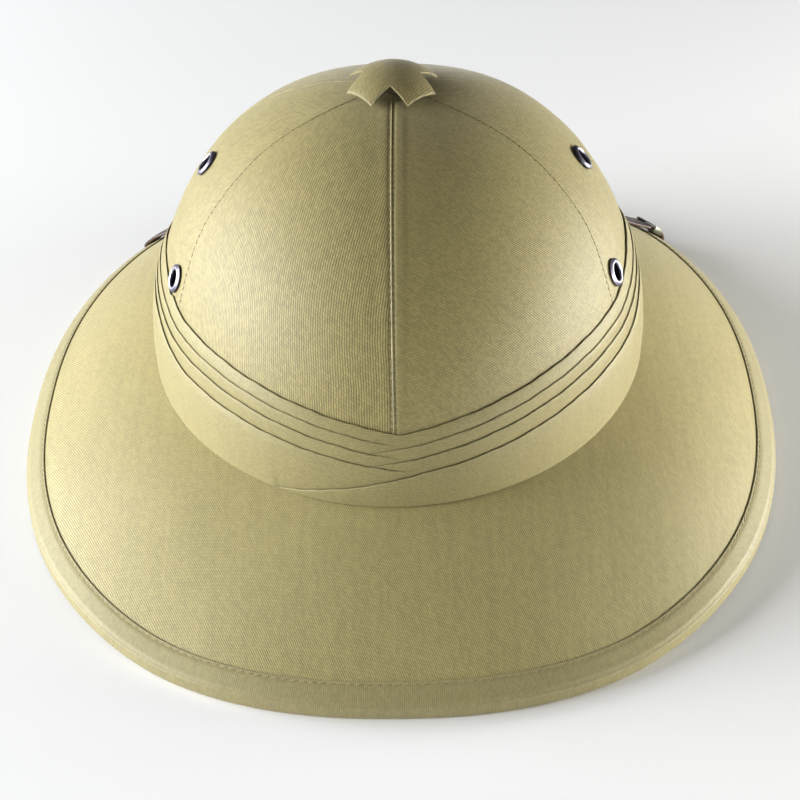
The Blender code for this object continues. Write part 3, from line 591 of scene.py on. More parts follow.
@dataclass(frozen=True)
class HelmetForm:
    """Crown and brim as smooth surfaces. The numbers are the part's own."""

    brim_half_width: float = 143.0 * MM
    back_reach: float = 168.2 * MM
    front_reach: float = 174.0 * MM
    back_fullness: float = 2.32
    front_fullness: float = 2.2
    droop: float = 0.45
    droop_power: float = 2.2
    wall_inner: float = 3.4 * MM
    wall_rim: float = 1.9 * MM
    rim_stack: float = 4.3 * MM
    lift: float = 3.3 * MM
    lift_from: float = 0.50
    lift_to: float = 0.82
    binding_wall: float = 1.0 * MM
    binding_width: float = 6.4 * MM
    crown_half_width: float = 90.6 * MM
    crown_half_length: float = 105.4 * MM
    crown_top: float = 142.2 * MM
    apex_forward: float = 5.0 * MM
    crown_wall: float = 3.4 * MM
    crown_hem: float = 4.6 * MM
    bulge_side: float = 0.027
    bulge_back: float = 0.016
    bulge_front: float = -0.045
    junction_back: float = 40.2 * MM
    junction_side_rise: float = 0.5 * MM
    junction_front_rise: float = 3.7 * MM

    @property
    def axis_y(self) -> float:
        """Place of the crown's axis along Y."""
        return (self.back_reach - self.front_reach) / 2.0

    def rim_lift(self, angle: Number) -> Array:
        """Height of the rim's underside."""
        share = (np.abs(np.sin(angle)) - self.lift_from) / (self.lift_to - self.lift_from)
        return self.lift * smoothstep(share)

    def junction(self, angle: Number) -> Array:
        """Height at which the crown meets the top of the brim."""
        front = self.junction_front_rise * (1.0 - np.cos(angle)) / 2.0
        return self.junction_back + self.junction_side_rise * np.sin(angle) ** 2 + front

    def rim_plan(self, angle: Array, inset: float) -> Array:
        """Outline of the rim in plan, drawn in by inset."""
        sine, cosine = np.sin(angle), np.cos(angle)
        fullness = np.where(cosine > 0.0, self.back_fullness, self.front_fullness)
        reach = np.where(cosine > 0.0, self.back_reach, self.front_reach) - inset
        radius = (np.abs(sine) ** fullness + np.abs(cosine) ** fullness) ** (-1.0 / fullness)
        return np.stack(((self.brim_half_width - inset) * sine * radius,
                         self.axis_y - reach * cosine * radius), -1)

    def crown_plan(self, angle: Array, offset: float) -> Array:
        """Outline of the crown's base in plan, moved out by offset."""
        return np.stack(((self.crown_half_width + offset) * np.sin(angle),
                         self.axis_y - (self.crown_half_length + offset) * np.cos(angle)), -1)

    def crown_swell(self, angle: Array, rise: Array) -> Array:
        """Size of the dome beside that of an ellipsoid."""
        end = np.where(np.cos(angle) > 0.0, self.bulge_back, self.bulge_front)
        bulge = self.bulge_side * np.sin(angle) ** 2 + end * np.cos(angle) ** 2
        return 1.0 + bulge * np.sin(2.0 * rise)

    def crown_point(self, angle: Number, rise: Number, inset: float = 0.0) -> Array:
        """Points of the dome. rise is 0 at the base and a right angle at the top."""
        angle, rise = level(angle, rise)
        swell = self.crown_swell(angle, rise)
        spread, height = swell * np.cos(rise), swell * np.sin(rise)
        base = self.crown_plan(angle, -inset)
        low = self.junction(angle)
        return np.stack((base[..., 0] * spread,
                         self.axis_y + (base[..., 1] - self.axis_y) * spread + self.apex_forward * height,
                         low + (self.crown_top - inset - low) * height), -1)

    def crown_rise(self, angle: Number, height: Number, newton_steps: int = 12) -> Array:
        """Rise at which the dome is this high above the junction."""
        target = height / (self.crown_top - self.junction(angle))
        rise = np.arcsin(np.clip(target, -1.0, 1.0))
        for _ in range(newton_steps):
            swell = self.crown_swell(angle, rise)
            rise = rise - (swell * np.sin(rise) - target) / np.maximum(swell * np.cos(rise), 0.2)
        return rise

    def crown_side(self, angle: Number, height: Number, offset: Number) -> Array:
        """Point on the crown's side above the junction, moved out level by offset."""
        point = self.crown_point(angle, self.crown_rise(angle, height))
        outward = unit(np.stack((point[..., 0], point[..., 1] - self.axis_y, 0.0 * point[..., 2]), -1))
        return point + outward * np.asarray(offset)[..., None]

    def crown_normal(self, angle: Number, rise: Number, step: float = 1e-4) -> Array:
        """Outward normal of the dome."""
        rise = np.minimum(rise, QUARTER - 3.0 * step)
        along = self.crown_point(angle + step, rise) - self.crown_point(angle - step, rise)
        up = self.crown_point(angle, rise + step) - self.crown_point(angle, rise - step)
        return unit(np.cross(along, up))

    def side_frame(self, angle: float, height: float, inset: float = 0.0, out: float = 1.0) -> Matrix:
        """Frame on the crown's side, inset from its outer face, with Z pointing out, or in where out is -1."""
        rise = self.crown_rise(np.float64(angle), np.float64(height))
        return frame_at(self.crown_point(angle, rise, inset), out * self.crown_normal(np.float64(angle), rise))

    def section(self, angle: Number) -> tuple[Array, Array, Array]:
        """Inner and outer ends of the brim board in plan, and its length."""
        inner = self.crown_plan(angle, GAP)
        outer = self.rim_plan(angle, self.binding_wall + GAP)
        return inner, outer, np.linalg.norm(outer - inner, axis=-1)

    def rim_top(self, angle: Number) -> Array:
        """Height of the board's top face at the rim."""
        return self.rim_lift(angle) + self.rim_stack

    def rim_slope(self, angle: Number) -> Array:
        """Downward slope of the board's top face at the rim."""
        fall = self.junction(angle) - self.rim_top(angle)
        return np.arctan(fall * (1.0 + self.droop * (self.droop_power - 1.0)) / self.section(angle)[2])

    def brim_height(self, angle: Array, along: Array) -> Array:
        """Height of the board's top face; along is 0 at the crown and 1 at the rim."""
        high = self.junction(angle)
        fall = (1.0 - self.droop) * along + self.droop * np.maximum(along, 0.0) ** self.droop_power
        return high - (high - self.rim_top(angle)) * fall

    def brim_point(self, angle: Number, from_rim: Number, lift: Number = 0.0, step: float = 1e-3) -> Array:
        """Point from_rim inside the board's rim, lifted square to its top face."""
        angle, from_rim, lift = level(angle, from_rim, lift)
        inner, outer, length = self.section(angle)
        along = 1.0 - from_rim / length
        rise = self.brim_height(angle, along + step) - self.brim_height(angle, along - step)
        tilt = np.arctan(rise / (2 * step * length))
        back = unit(outer - inner) * (lift * np.sin(tilt))[..., None]
        up = self.brim_height(angle, along) + lift * np.cos(tilt)
        return np.concatenate((inner + (outer - inner) * along[..., None] - back, up[..., None]), -1)

    def board_under(self, angle: Number, along: Number, extra: float = 0.0) -> Array:
        """Point straight below the board's top face, on its underside or extra below that."""
        angle, along = level(angle, along)
        top = self.brim_point(angle, (1.0 - along) * self.section(angle)[2])
        slope = self.rim_slope(angle) * (0.6 + 0.4 * along)
        wall = self.wall_inner + (self.wall_rim - self.wall_inner) * along
        top[..., 2] -= (wall + extra) / np.cos(slope)
        return top

    def beside_rim(self, angle: Number, reach: float, height: Number) -> Array:
        """Point in the upright plane across the rim, reach outside the board's edge."""
        angle, height = level(angle, height)
        inner, outer, _ = self.section(angle)
        return np.concatenate((outer + unit(outer - inner) * reach, height[..., None]), -1)


@dataclass
class Dresser:
    """Makes pieces on the helmet's form, in the palette's materials."""

    form: HelmetForm
    palette: dict[str, Material]


# ------------------------------------------------------------------ crown


class Seam(Enum):
    """How two panels of the crown are joined."""

    WELT = "a raised fold with a row of stitches on each side"
    STITCHED = "a lap with a row of stitches beside its edge"
    # The folded edge's light line is a painted highlight.
    FOLDED = "a lap whose folded edge catches the light"


@dataclass(frozen=True)
class Panel:
    """One panel of the crown: its seams' plan angles and kinds, its ribs' turn in degrees, and their fineness.

    Each seam has a sign, positive where this panel laps over the other.
    """

    start: float
    end: float
    before: tuple[Seam, float]
    after: tuple[Seam, float]
    rib_turn: float
    fineness: float = 1.0


@dataclass
class Crown(Dresser):
    """Six cloth panels over a pith dome."""

    rows: int = 64
    seam_samples: int = 121
    filler_columns: int = 30
    inner_rows: int = 26
    inner_columns: int = 25
    inner_map_radius: float = 90.0 * MM
    hem_map_depth: float = 4.0 * MM
    seam_rises: tuple[float, float] = (0.05, 1.43)
    seam_points: int = 160
    seam_lift: float = 0.1 * MM
    relief_top: float = 1.45
    ripple_top: float = 1.5
    seam_share: float = 0.42
    marks_mm: tuple[float, ...] = (0.0, 0.12, 0.25, 0.4, 0.6, 0.8, 1.1, 1.6, 2.4, 3.4, 4.2, 5.0, 5.8, 7.2)
    eyelet_bore: float = 4.0 * MM
    panels: tuple[Panel, ...] = (
        Panel(0.0, SIDE_SEAM, (Seam.WELT, 1.0), (Seam.STITCHED, -1.0), -42.0, 1.3),
        Panel(SIDE_SEAM, FOLD_SEAM, (Seam.STITCHED, 1.0), (Seam.FOLDED, -1.0), -20.0),
        Panel(FOLD_SEAM, 180.0, (Seam.FOLDED, 1.0), (Seam.STITCHED, 1.0), 42.0),
        Panel(-180.0, -FOLD_SEAM, (Seam.STITCHED, -1.0), (Seam.FOLDED, 1.0), -4.0),
        Panel(-FOLD_SEAM, -SIDE_SEAM, (Seam.FOLDED, -1.0), (Seam.STITCHED, 1.0), 24.0),
        Panel(-SIDE_SEAM, 0.0, (Seam.STITCHED, -1.0), (Seam.WELT, -1.0), -9.0),
    )
    foot_shift: float = math.radians(3.6)
    foot_end: float = 0.72
    foot_ease: float = 0.34
    head_shift: float = math.radians(4.5)
    head_start: float = 1.0
    head_ease: float = 0.4

    def leaned(self, angle: Number, rise: Number) -> Array:
        """Plan angles drawn towards the back at the foot and the head of the side seams."""
        foot = smoothstep((self.foot_end - rise) / self.foot_ease)
        head = smoothstep((rise - self.head_start) / self.head_ease)
        shift = self.foot_shift * foot + self.head_shift * head
        far, side, fold = np.abs(angle), math.radians(SIDE_SEAM), math.radians(FOLD_SEAM)
        share = np.where(far < side, far / side, np.clip((fold - far) / (fold - side), 0.0, 1.0))
        return angle - np.sign(angle) * shift * share

    def relief(self, seam: Seam, side: Array) -> tuple[Array, Array]:
        """Height and paleness at a signed distance from a seam in millimetres, positive on the upper panel."""
        over, under = np.maximum(side, 0.0), np.maximum(-side, 0.0)
        if seam is Seam.WELT:
            # A narrow fold between two stitched grooves, with the turned-in cloth raised on each side. The
            # paleness paints a highlight on the fold, shade in the grooves and a band of shade over the raised
            # cloth.
            groove = bell(np.abs(side) - 0.75, width=0.26)
            height = 0.24 * bell(side, width=0.18) - 0.10 * groove
            height += 0.26 * plateau(over, start=0.9, ease=0.5, end=4.2, fade=0.9)
            height += 0.10 * plateau(under, start=0.9, ease=0.5, end=3.0, fade=2.0)
            band = plateau(over, start=0.9, ease=0.4, end=4.4, fade=0.5)
            return height * MM, 0.20 * bell(side, width=0.2) - 0.12 * groove - 0.08 * band
        # A step that eases away under the upper panel, with a painted highlight on its edge, strongest where
        # the lap is folded, and painted shade at its foot.
        height = 0.12 * smoothstep((side + 0.15) / 0.3) * (1.0 - smoothstep((over - 2.4) / 4.0))
        edge, dark = bell(side - 0.12, width=0.24), bell(side + 0.22, width=0.18)
        if seam is Seam.STITCHED:
            return (height - 0.04 * dark) * MM, 0.02 * edge - 0.10 * dark
        return (height + 0.05 * edge) * MM, 0.25 * edge - 0.08 * dark

    def panel_grid(self, panel: Panel) -> tuple[Array, Array, Array]:
        """Points, cloth coordinates and paleness of a panel's outer surface."""
        form, marks = self.form, np.array(self.marks_mm) * MM
        start, end, turn = (math.radians(value) for value in (panel.start, panel.end, panel.rib_turn))
        rises = np.linspace(0.0, QUARTER, self.rows)
        meridian = arc_lengths(form.crown_point(0.5 * (start + end), rises))
        points, coords, wear_and_painted_light_rows = [], [], []
        for rise, up in zip(rises, meridian):
            leaned = self.leaned(np.linspace(start, end, self.seam_samples), rise)
            lengths = arc_lengths(form.crown_point(leaned, rise))
            total = max(lengths[-1], TINY)
            near = np.minimum(marks, total * self.seam_share * np.arange(len(marks)) / (len(marks) - 1))
            filler = np.linspace(near[-1], total - near[-1], self.filler_columns + 2)[1:-1]
            places = np.concatenate((near, filler, total - near[::-1]))
            angles = np.interp(places, lengths, leaned)
            angles[[0, -1]] = leaned[[0, -1]]
            height, wear_and_painted_light = np.zeros(len(places)), np.zeros(len(places))
            if rise < self.relief_top:
                for (seam, sign), distance in ((panel.before, places), (panel.after, total - places)):
                    extra, paleness = self.relief(seam, sign * distance / MM)
                    height += extra
                    wear_and_painted_light += paleness
            surface = form.crown_point(angles, rise)
            if rise < self.ripple_top:
                height += ripple(surface, amplitude=0.10 * MM, wavelength=60.0 * MM, seed=3)
                surface = surface + form.crown_normal(angles, np.full(len(angles), rise)) * height[:, None]
            points.append(surface)
            coords.append(turned_map((places - 0.5 * total) * panel.fineness, up * panel.fineness, turn))
            wear_and_painted_light_rows.append(wear_and_painted_light)
        return np.array(points), np.array(coords), np.array(wear_and_painted_light_rows)

    def make(self, eyelets: Iterable[Matrix]) -> None:
        """Make the crown, closed at its hem and bored for the eyelets."""
        form, draft = self.form, MeshDraft()
        drop = np.array((0.0, 0.0, form.crown_hem))
        for panel in self.panels:
            points, coords, wear_and_painted_light = self.panel_grid(panel)
            draft.add_grid(points, coords, wear_and_painted_light)
            hem = np.stack((points[0] - drop, points[0]))
            draft.add_grid(hem, np.stack((coords[0] - (0.0, form.crown_hem), coords[0])))
            ends = math.radians(panel.start), math.radians(panel.end)
            angles = self.leaned(np.linspace(*ends, self.inner_columns), 0.0)
            rises = np.linspace(0.0, QUARTER, self.inner_rows)
            inner = form.crown_point(angles[None, :], rises[:, None], form.crown_wall)
            inner = np.concatenate((inner[:1] - drop, inner))
            flat = np.stack(level(angles * self.inner_map_radius, inner[:, :1, 2]), -1)
            draft.add_grid(inner[:, ::-1], flat[:, ::-1])
            marks, inner_marks = (arc_lengths(edge) / arc_lengths(edge)[-1] for edge in (hem[0], inner[0]))
            matched = np.stack([np.interp(marks, inner_marks, inner[0, :, axis]) for axis in range(3)], -1)
            under = coords[0] - (0.0, self.hem_map_depth)
            draft.add_grid(np.stack((matched, hem[0])), np.stack((under, coords[0])))
        crown = draft.build("crown_panels", self.palette["crown_cloth"])
        cut(crown, eyelets, self.eyelet_bore, depth=16.0 * MM)
        settle(crown, "crown_cloth", "crown")

    def seam_path(self, degrees: float, aside: float) -> Path:
        """Path along a seam, aside from it by a distance, and the crown's normals there."""
        rises = np.linspace(*self.seam_rises, self.seam_points)
        angle = self.leaned(math.radians(degrees), rises)
        spine, normals = self.form.crown_point(angle, rises), self.form.crown_normal(angle, rises)
        sideways = unit(np.cross(unit(np.gradient(spine, axis=0)), normals))
        return spine + sideways * aside + normals * self.seam_lift, normals

    def make_stitches(self) -> None:
        """Sew the seams: two rows at the back and one beside each stitched lap."""
        row = StitchRow(pitch=2.4 * MM, length=1.2 * MM, thickness=0.24 * MM, slant=0.06, lift=-0.03 * MM)
        back = (0.0, 0.80 * MM), (0.0, -0.80 * MM)
        sides = (SIDE_SEAM, -0.3 * MM), (-SIDE_SEAM, 0.3 * MM), (180.0, 0.5 * MM)
        for name, seams in (("crown_back_stitches", back), ("crown_side_stitches", sides)):
            paths = [self.seam_path(*seam) for seam in seams]
            settle(row.make(name, paths, self.palette["seam_thread_and_shade"]), "crown_cloth")


# ------------------------------------------------------------------ brim and binding


@dataclass
class Brim(Dresser):
    """Cloth-covered board from the crown to the rim."""

    columns: int = 360
    rows: int = 44
    under_rows: int = 14

    def make(self) -> None:
        """Make the brim as one closed ring."""
        form, draft = self.form, MeshDraft()
        angles, shares = np.linspace(0.0, TURN, self.columns + 1), np.linspace(0.0, 1.0, self.rows)
        top = form.brim_point(angles[None, :], (1.0 - shares[:, None]) * form.section(angles)[2][None, :])
        calm = plateau(shares, start=0.0, ease=0.1, end=0.78, fade=0.12)
        top[..., 2] += ripple(top, amplitude=0.22 * MM, wavelength=90.0 * MM, seed=11) * calm[:, None]
        draft.add_grid(top, top[..., :2])
        under = form.board_under(angles[None, :], np.linspace(0.0, 1.0, self.under_rows)[:, None])
        draft.add_grid(under[::-1], under[::-1, :, :2] * (1.0, -1.0))
        for edge in (0, -1):
            wall = np.stack((top[edge], under[edge]))
            draft.add_grid(wall, wall[..., :2])
        settle(draft.build("brim_cover", self.palette["brim_cloth"]), "brim_cloth", "brim")


@dataclass
class Binding(Dresser):
    """Cloth strip folded round the rim and stitched down beside its inner edge.

    inner_roll holds insets in millimetres, shares of edge_wall and paleness. upper_face holds distances
    from the rim and heights in millimetres. shoulder holds reaches and drops in corners, and paleness.
    """

    columns: int = 420
    path_points: int = 1400
    side_gap: float = 0.15 * MM
    back_gap: float = 0.10 * MM
    edge_wall: float = 0.75 * MM
    corner: float = 0.9 * MM
    land: float = 1.5 * MM
    stitch_inset: float = 0.75 * MM
    # Paleness in inner_roll and shoulder is painted: shade in the gap under the inner edge and in the stitch
    # groove, and faint highlights on the lip and the shoulder.
    inner_roll: tuple[Triple, ...] = (
        (0.10, 0.0, -0.15), (0.0, 0.12, -0.05), (0.03, 0.40, 0.02), (0.20, 0.62, 0.08), (0.45, 0.72, 0.04),
        (0.75, 0.50, -0.20), (1.10, 0.78, 0.0))
    upper_face: tuple[tuple[float, float], ...] = (
        (4.7, 0.90), (4.0, 0.95), (3.2, 1.00), (2.3, 1.06), (1.4, 1.14), (0.6, 1.24))
    shoulder: tuple[Triple, ...] = (
        (1.0, -0.36, 0.0), (0.62, -0.12, 0.03), (0.26, 0.16, 0.05), (0.04, 0.55, 0.02))

    def edge_gap(self, angle: Array) -> Array:
        """How far the inner edge stands off the brim: more at the sides."""
        share = smoothstep((np.abs(np.sin(angle)) - 0.45) / 0.4)
        return self.back_gap + (self.side_gap - self.back_gap) * share

    def sections(self, angle: Array) -> list[tuple[Array, float]]:
        """Points of each line along the binding, with its paleness, once round the section."""
        form, width, corner, gap = self.form, self.form.binding_width, self.corner, self.edge_gap(angle)
        face, low, slope = GAP + form.binding_wall, form.rim_lift(angle), form.rim_slope(angle)
        high = form.rim_top(angle) + face / np.cos(slope) - face * np.tan(slope)
        board_low = form.rim_top(angle) - (form.wall_rim + GAP) / np.cos(slope) - GAP * np.tan(slope)
        edge = 1.0 - width / form.section(angle)[2]
        skin = [(form.brim_point(angle, width - inset * MM, gap + self.edge_wall * share), wear_and_painted_light)
                for inset, share, wear_and_painted_light in self.inner_roll]
        skin += [(form.brim_point(angle, from_rim * MM, lift * MM), 0.0) for from_rim, lift in self.upper_face]
        skin += [(form.beside_rim(angle, face - reach * corner, high - drop * corner), wear_and_painted_light)
                 for reach, drop, wear_and_painted_light in self.shoulder]
        side = high - 0.6 * corner - low - corner
        skin += [(form.beside_rim(angle, face, low + corner + side * share), 0.0)
                 for share in (0.75, 0.5, 0.25)]
        # The foot of the rim's face is darkened as painted shade, and the round below it is painted paler.
        for degrees, wear_and_painted_light in ((0.0, -0.10), (30.0, 0.10), (60.0, 0.10), (90.0, 0.10)):
            bend = math.radians(degrees)
            skin.append((form.beside_rim(angle, face - corner * (1.0 - math.cos(bend)),
                                         low + corner * (1.0 - math.sin(bend))), wear_and_painted_light))
        skin += [(form.beside_rim(angle, face - corner - self.land, low), 0.0),
                 (form.board_under(angle, 1.0 - 0.5 * (1.0 - edge), face), 0.0),
                 # A painted highlight on the under edge, and painted shade in the recess beside it.
                 (form.board_under(angle, edge, face), 0.2),
                 (form.board_under(angle, edge, GAP), -0.3),
                 (form.beside_rim(angle, GAP, board_low), 0.0),
                 (form.beside_rim(angle, GAP, form.rim_top(angle) + GAP / 2.0), 0.0),
                 (form.brim_point(angle, width / 2.0, GAP), 0.0),
                 (form.brim_point(angle, width - 1.0 * MM, np.minimum(gap, GAP)), 0.0)]
        return [*skin, skin[0]]

    def make(self) -> None:
        """Make the binding and its stitches."""
        points, wear_and_painted_light = lofted(self.sections(np.linspace(0.0, TURN, self.columns + 1)))
        coords = map_grid(arc_lengths(points[10]), arc_lengths(points[:, 0]))
        draft = MeshDraft().add_grid(points, coords, wear_and_painted_light)
        binding = draft.build("rim_binding", self.palette["binding_cloth"], crease=60.0)
        angles = np.linspace(0.0, TURN, self.path_points)
        inside = self.form.binding_width - self.stitch_inset
        lift = self.edge_gap(angles) + self.edge_wall * 0.62
        path, above = (self.form.brim_point(angles, inside, lift + more) for more in (0.0, 1.0 * MM))
        row = StitchRow(pitch=3.1 * MM, length=2.7 * MM, thickness=0.46 * MM, slant=0.16, waver=0.07)
        stitches = row.make("binding_stitches", [(path, unit(above - path))], self.palette["binding_thread"])
        settle(binding, "binding_cloth", "brim_binding")
        settle(stitches, "binding_cloth")


# ------------------------------------------------------------------ pugaree


@dataclass(frozen=True)
class Strip:
    """One strip of the pugaree: heights of its upper edge, how far that stands off, and where it crosses."""

    name: str
    centre: float
    shoulder: float
    side: float
    front: float
    out: float
    cross: float


@dataclass
class Pugaree(Dresser):
    """Three narrow folds over a wide band, each crossing over itself at the back, right over left."""

    strips: tuple[Strip, ...] = (
        Strip("pugaree_fold_1", 27.0 * MM, 37.8 * MM, 41.4 * MM, 35.0 * MM, 0.90 * MM, math.radians(2.0)),
        Strip("pugaree_fold_2", 23.0 * MM, 33.4 * MM, 36.2 * MM, 30.6 * MM, 1.70 * MM, math.radians(3.0)),
        Strip("pugaree_fold_3", 18.4 * MM, 28.8 * MM, 31.2 * MM, 26.2 * MM, 1.80 * MM, math.radians(3.5)),
        Strip("pugaree_band", 13.4 * MM, 22.8 * MM, 26.8 * MM, 21.8 * MM, 1.85 * MM, math.radians(6.0)),
    )
    shoulder_angle: float = math.radians(60.0)
    side_angle: float = math.radians(84.0)
    drop_from: float = math.radians(88.0)
    drop_to: float = math.radians(106.0)
    tail_angle: float = math.radians(-28.0)
    crossing_reach: float = 1.2
    end_reach: float = 0.35
    tuck_out: float = 1.10 * MM
    tuck: float = 2.4 * MM
    lip: float = 0.5 * MM
    cloth_wall: float = 0.32 * MM
    taper: float = 5.0 * MM
    right_end: float = math.radians(40.0)
    end_outs: tuple[float, float] = (1.55 * MM, 1.15 * MM)
    foot_height: float = 0.25 * MM
    notch: float = 5.35 * MM
    notch_height: float = 43.9 * MM
    notches: tuple[float, ...] = (math.radians(69.9), TURN - math.radians(69.9))

    def upper_edge(self, index: int, angle: Array, left: bool) -> Array:
        """Height of a strip's upper edge on one wing, run on straight past the crossing."""
        if index == len(self.strips):
            return np.zeros_like(angle)
        strip = self.strips[index]
        away = strip.cross - angle if left else angle - strip.cross
        rise = strip.shoulder - strip.centre
        ramp = np.sin(QUARTER * np.clip(away / self.shoulder_angle, 0.0, 1.0))
        lift = smoothstep((away - self.shoulder_angle) / (self.side_angle - self.shoulder_angle))
        beyond = strip.centre + rise * QUARTER * away / self.shoulder_angle
        if index == len(self.strips) - 1 and not left:
            beyond = strip.centre * (1.0 + away / (strip.cross - self.tail_angle))
        drop = smoothstep((away - self.drop_from) / (self.drop_to - self.drop_from))
        height = strip.centre + rise * ramp + (strip.side - strip.shoulder) * lift
        return np.where(away < 0.0, beyond, height - (strip.side - strip.front) * drop)

    def covered(self, index: int, angle: Array, left: bool) -> Array:
        """Height up to which other folds lie over one wing of a strip near the crossing."""
        other = self.upper_edge(index if left else index + 1, angle, False)
        return np.maximum(self.upper_edge(index + 1, angle, True), other)

    def edges(self, index: int, angle: Array) -> tuple[Array, Array]:
        """Heights of the upper and lower edge of a strip's visible face, from its right end to its left."""
        right = angle <= math.pi
        back = np.where(right, angle, angle - TURN)
        tops = [self.upper_edge(index, back, left) for left in (False, True)]
        lows = [np.where(np.abs(back) < self.crossing_reach, self.covered(index, back, left),
                         self.upper_edge(index + 1, back, left)) for left in (False, True)]
        return np.where(right, *tops), np.where(right, *lows)

    def ends(self, index: int) -> tuple[float, float]:
        """Plan angles at which a strip's two ends taper to nothing."""
        scan = np.radians(np.arange(-60.0, 60.0, 0.05))
        right, left = (self.upper_edge(index, scan, wing) <= self.covered(index, scan, wing)
                       for wing in (False, True))
        start = scan[np.nonzero(right & (scan < self.strips[index].cross))[0][-1]]
        return start, scan[np.nonzero(left & (scan > start))[0][0]] + TURN

    def strip_angles(self, index: int) -> Array:
        """Plan angles of a strip's sections, closer near its ends, the crossings and the eyelets."""
        start, end = self.ends(index)
        marks = [np.arange(start, end, math.radians(0.75)), [start, end]]
        for low in (start, end - self.end_reach):
            marks.append(np.arange(low, low + self.end_reach, math.radians(0.2)))
        if index == 0:
            marks += [middle + np.radians(np.arange(-4.2, 4.2, 0.12)) for middle in self.notches]
        angles = np.unique(np.round(np.concatenate(marks), 5))
        return angles[(angles >= start) & (angles <= end)]

    def notched(self, angle: Array, top: Array) -> Array:
        """Upper edge of the top fold, cut round the lower eyelets."""
        here = self.form.crown_side(angle, np.full(len(angle), self.notch_height), 0.0)
        for middle in self.notches:
            centre = self.form.crown_side(np.float64(middle), np.float64(self.notch_height), 0.0)
            aside = np.linalg.norm((here - centre)[:, :2], axis=1)
            limit = self.notch_height - np.sqrt(np.maximum(self.notch ** 2 - aside ** 2, 0.0))
            top = np.where(aside < self.notch, np.minimum(top, limit), top)
        return top

    def section(self, index: int, angle: Array) -> tuple[Array, Array, Array]:
        """Heights, outward offsets and paleness of each line along a strip, once round its section."""
        top, low = self.edges(index, angle)
        band = index == len(self.strips) - 1
        waver = 0.10 * MM * np.sin(angle * 31.0 + index) + 0.07 * MM * np.sin(angle * 74.0 + 2.0 * index)
        top = top + waver * smoothstep((top - low) / (3.0 * MM))
        if index == 0:
            top = self.notched(angle, top)
        if band:
            low = np.maximum(low, GAP)
        width = np.maximum(top - low, 0.0)
        full = smoothstep(width / self.taper)
        least = np.where(angle < self.right_end, *self.end_outs)
        out = least + (self.strips[index].out - least) * full
        inner_top = out - self.cloth_wall
        resting = band & (low <= GAP + 1e-6)
        below = np.where(resting, 0.0, self.tuck)
        tuck_out = np.where(resting, self.tuck_out + 0.25 * MM, self.tuck_out)
        head = np.minimum(self.lip, width * 0.4)
        # Paleness is painted: shade on the cloth tucked under the next fold and inside the fold, and a faint
        # highlight along the top edge.
        rows = [(low - below, 0.78 * MM, -0.3), (low - 0.25 * below, tuck_out - 0.12 * MM, -0.3)]
        rows += [(low + (width - self.lip * full) * share,
                  tuck_out + (out - tuck_out) * share + bulge * MM * full, 0.0)
                 for share, bulge in ((0.0, 0.0), (0.3, 0.10), (0.6, 0.12), (0.85, 0.05))]
        rows += [(top - 0.45 * head, out, 0.03), (top - 0.1 * head, out - 0.08 * MM, 0.10),
                 (top, out - 0.24 * MM, 0.05), (top - 0.2 * head, inner_top, -0.1),
                 (top - np.minimum(0.9 * MM, width), np.minimum(inner_top, 1.35 * MM), -0.3),
                 (top - np.minimum(2.6 * MM, width), 0.55 * MM, -0.6),
                 (low - 0.25 * below, 0.38 * MM, -0.2), (low - below, 0.34 * MM, -0.2)]
        rows.append(rows[0])
        heights, offsets, wear_and_painted_light = zip(*rows)
        return np.maximum(level(*heights), self.foot_height), np.array(level(*offsets)), np.array(wear_and_painted_light)

    def make_strip(self, index: int) -> None:
        """Make one strip."""
        angles = self.strip_angles(index)
        heights, offsets, wear_and_painted_light = self.section(index, angles)
        points = self.form.crown_side(np.broadcast_to(angles, heights.shape), heights, offsets)
        coords = np.stack((np.broadcast_to(arc_lengths(points[3]), heights.shape), heights), -1)
        draft = MeshDraft().add_grid(points, coords, wear_and_painted_light[:, None])
        for end in (0, -1):
            draft.add_end(points[:-1, end], coords[:-1, end])
        name = self.strips[index].name
        strip = draft.build(name + "_cloth", self.palette["pugaree_cloth"], crease=70.0)
        settle(strip, "pugaree_cloth", name)

    def make(self) -> None:
        """Make every strip."""
        for index in range(len(self.strips)):
            self.make_strip(index)


# ------------------------------------------------------------------ ventilator cap


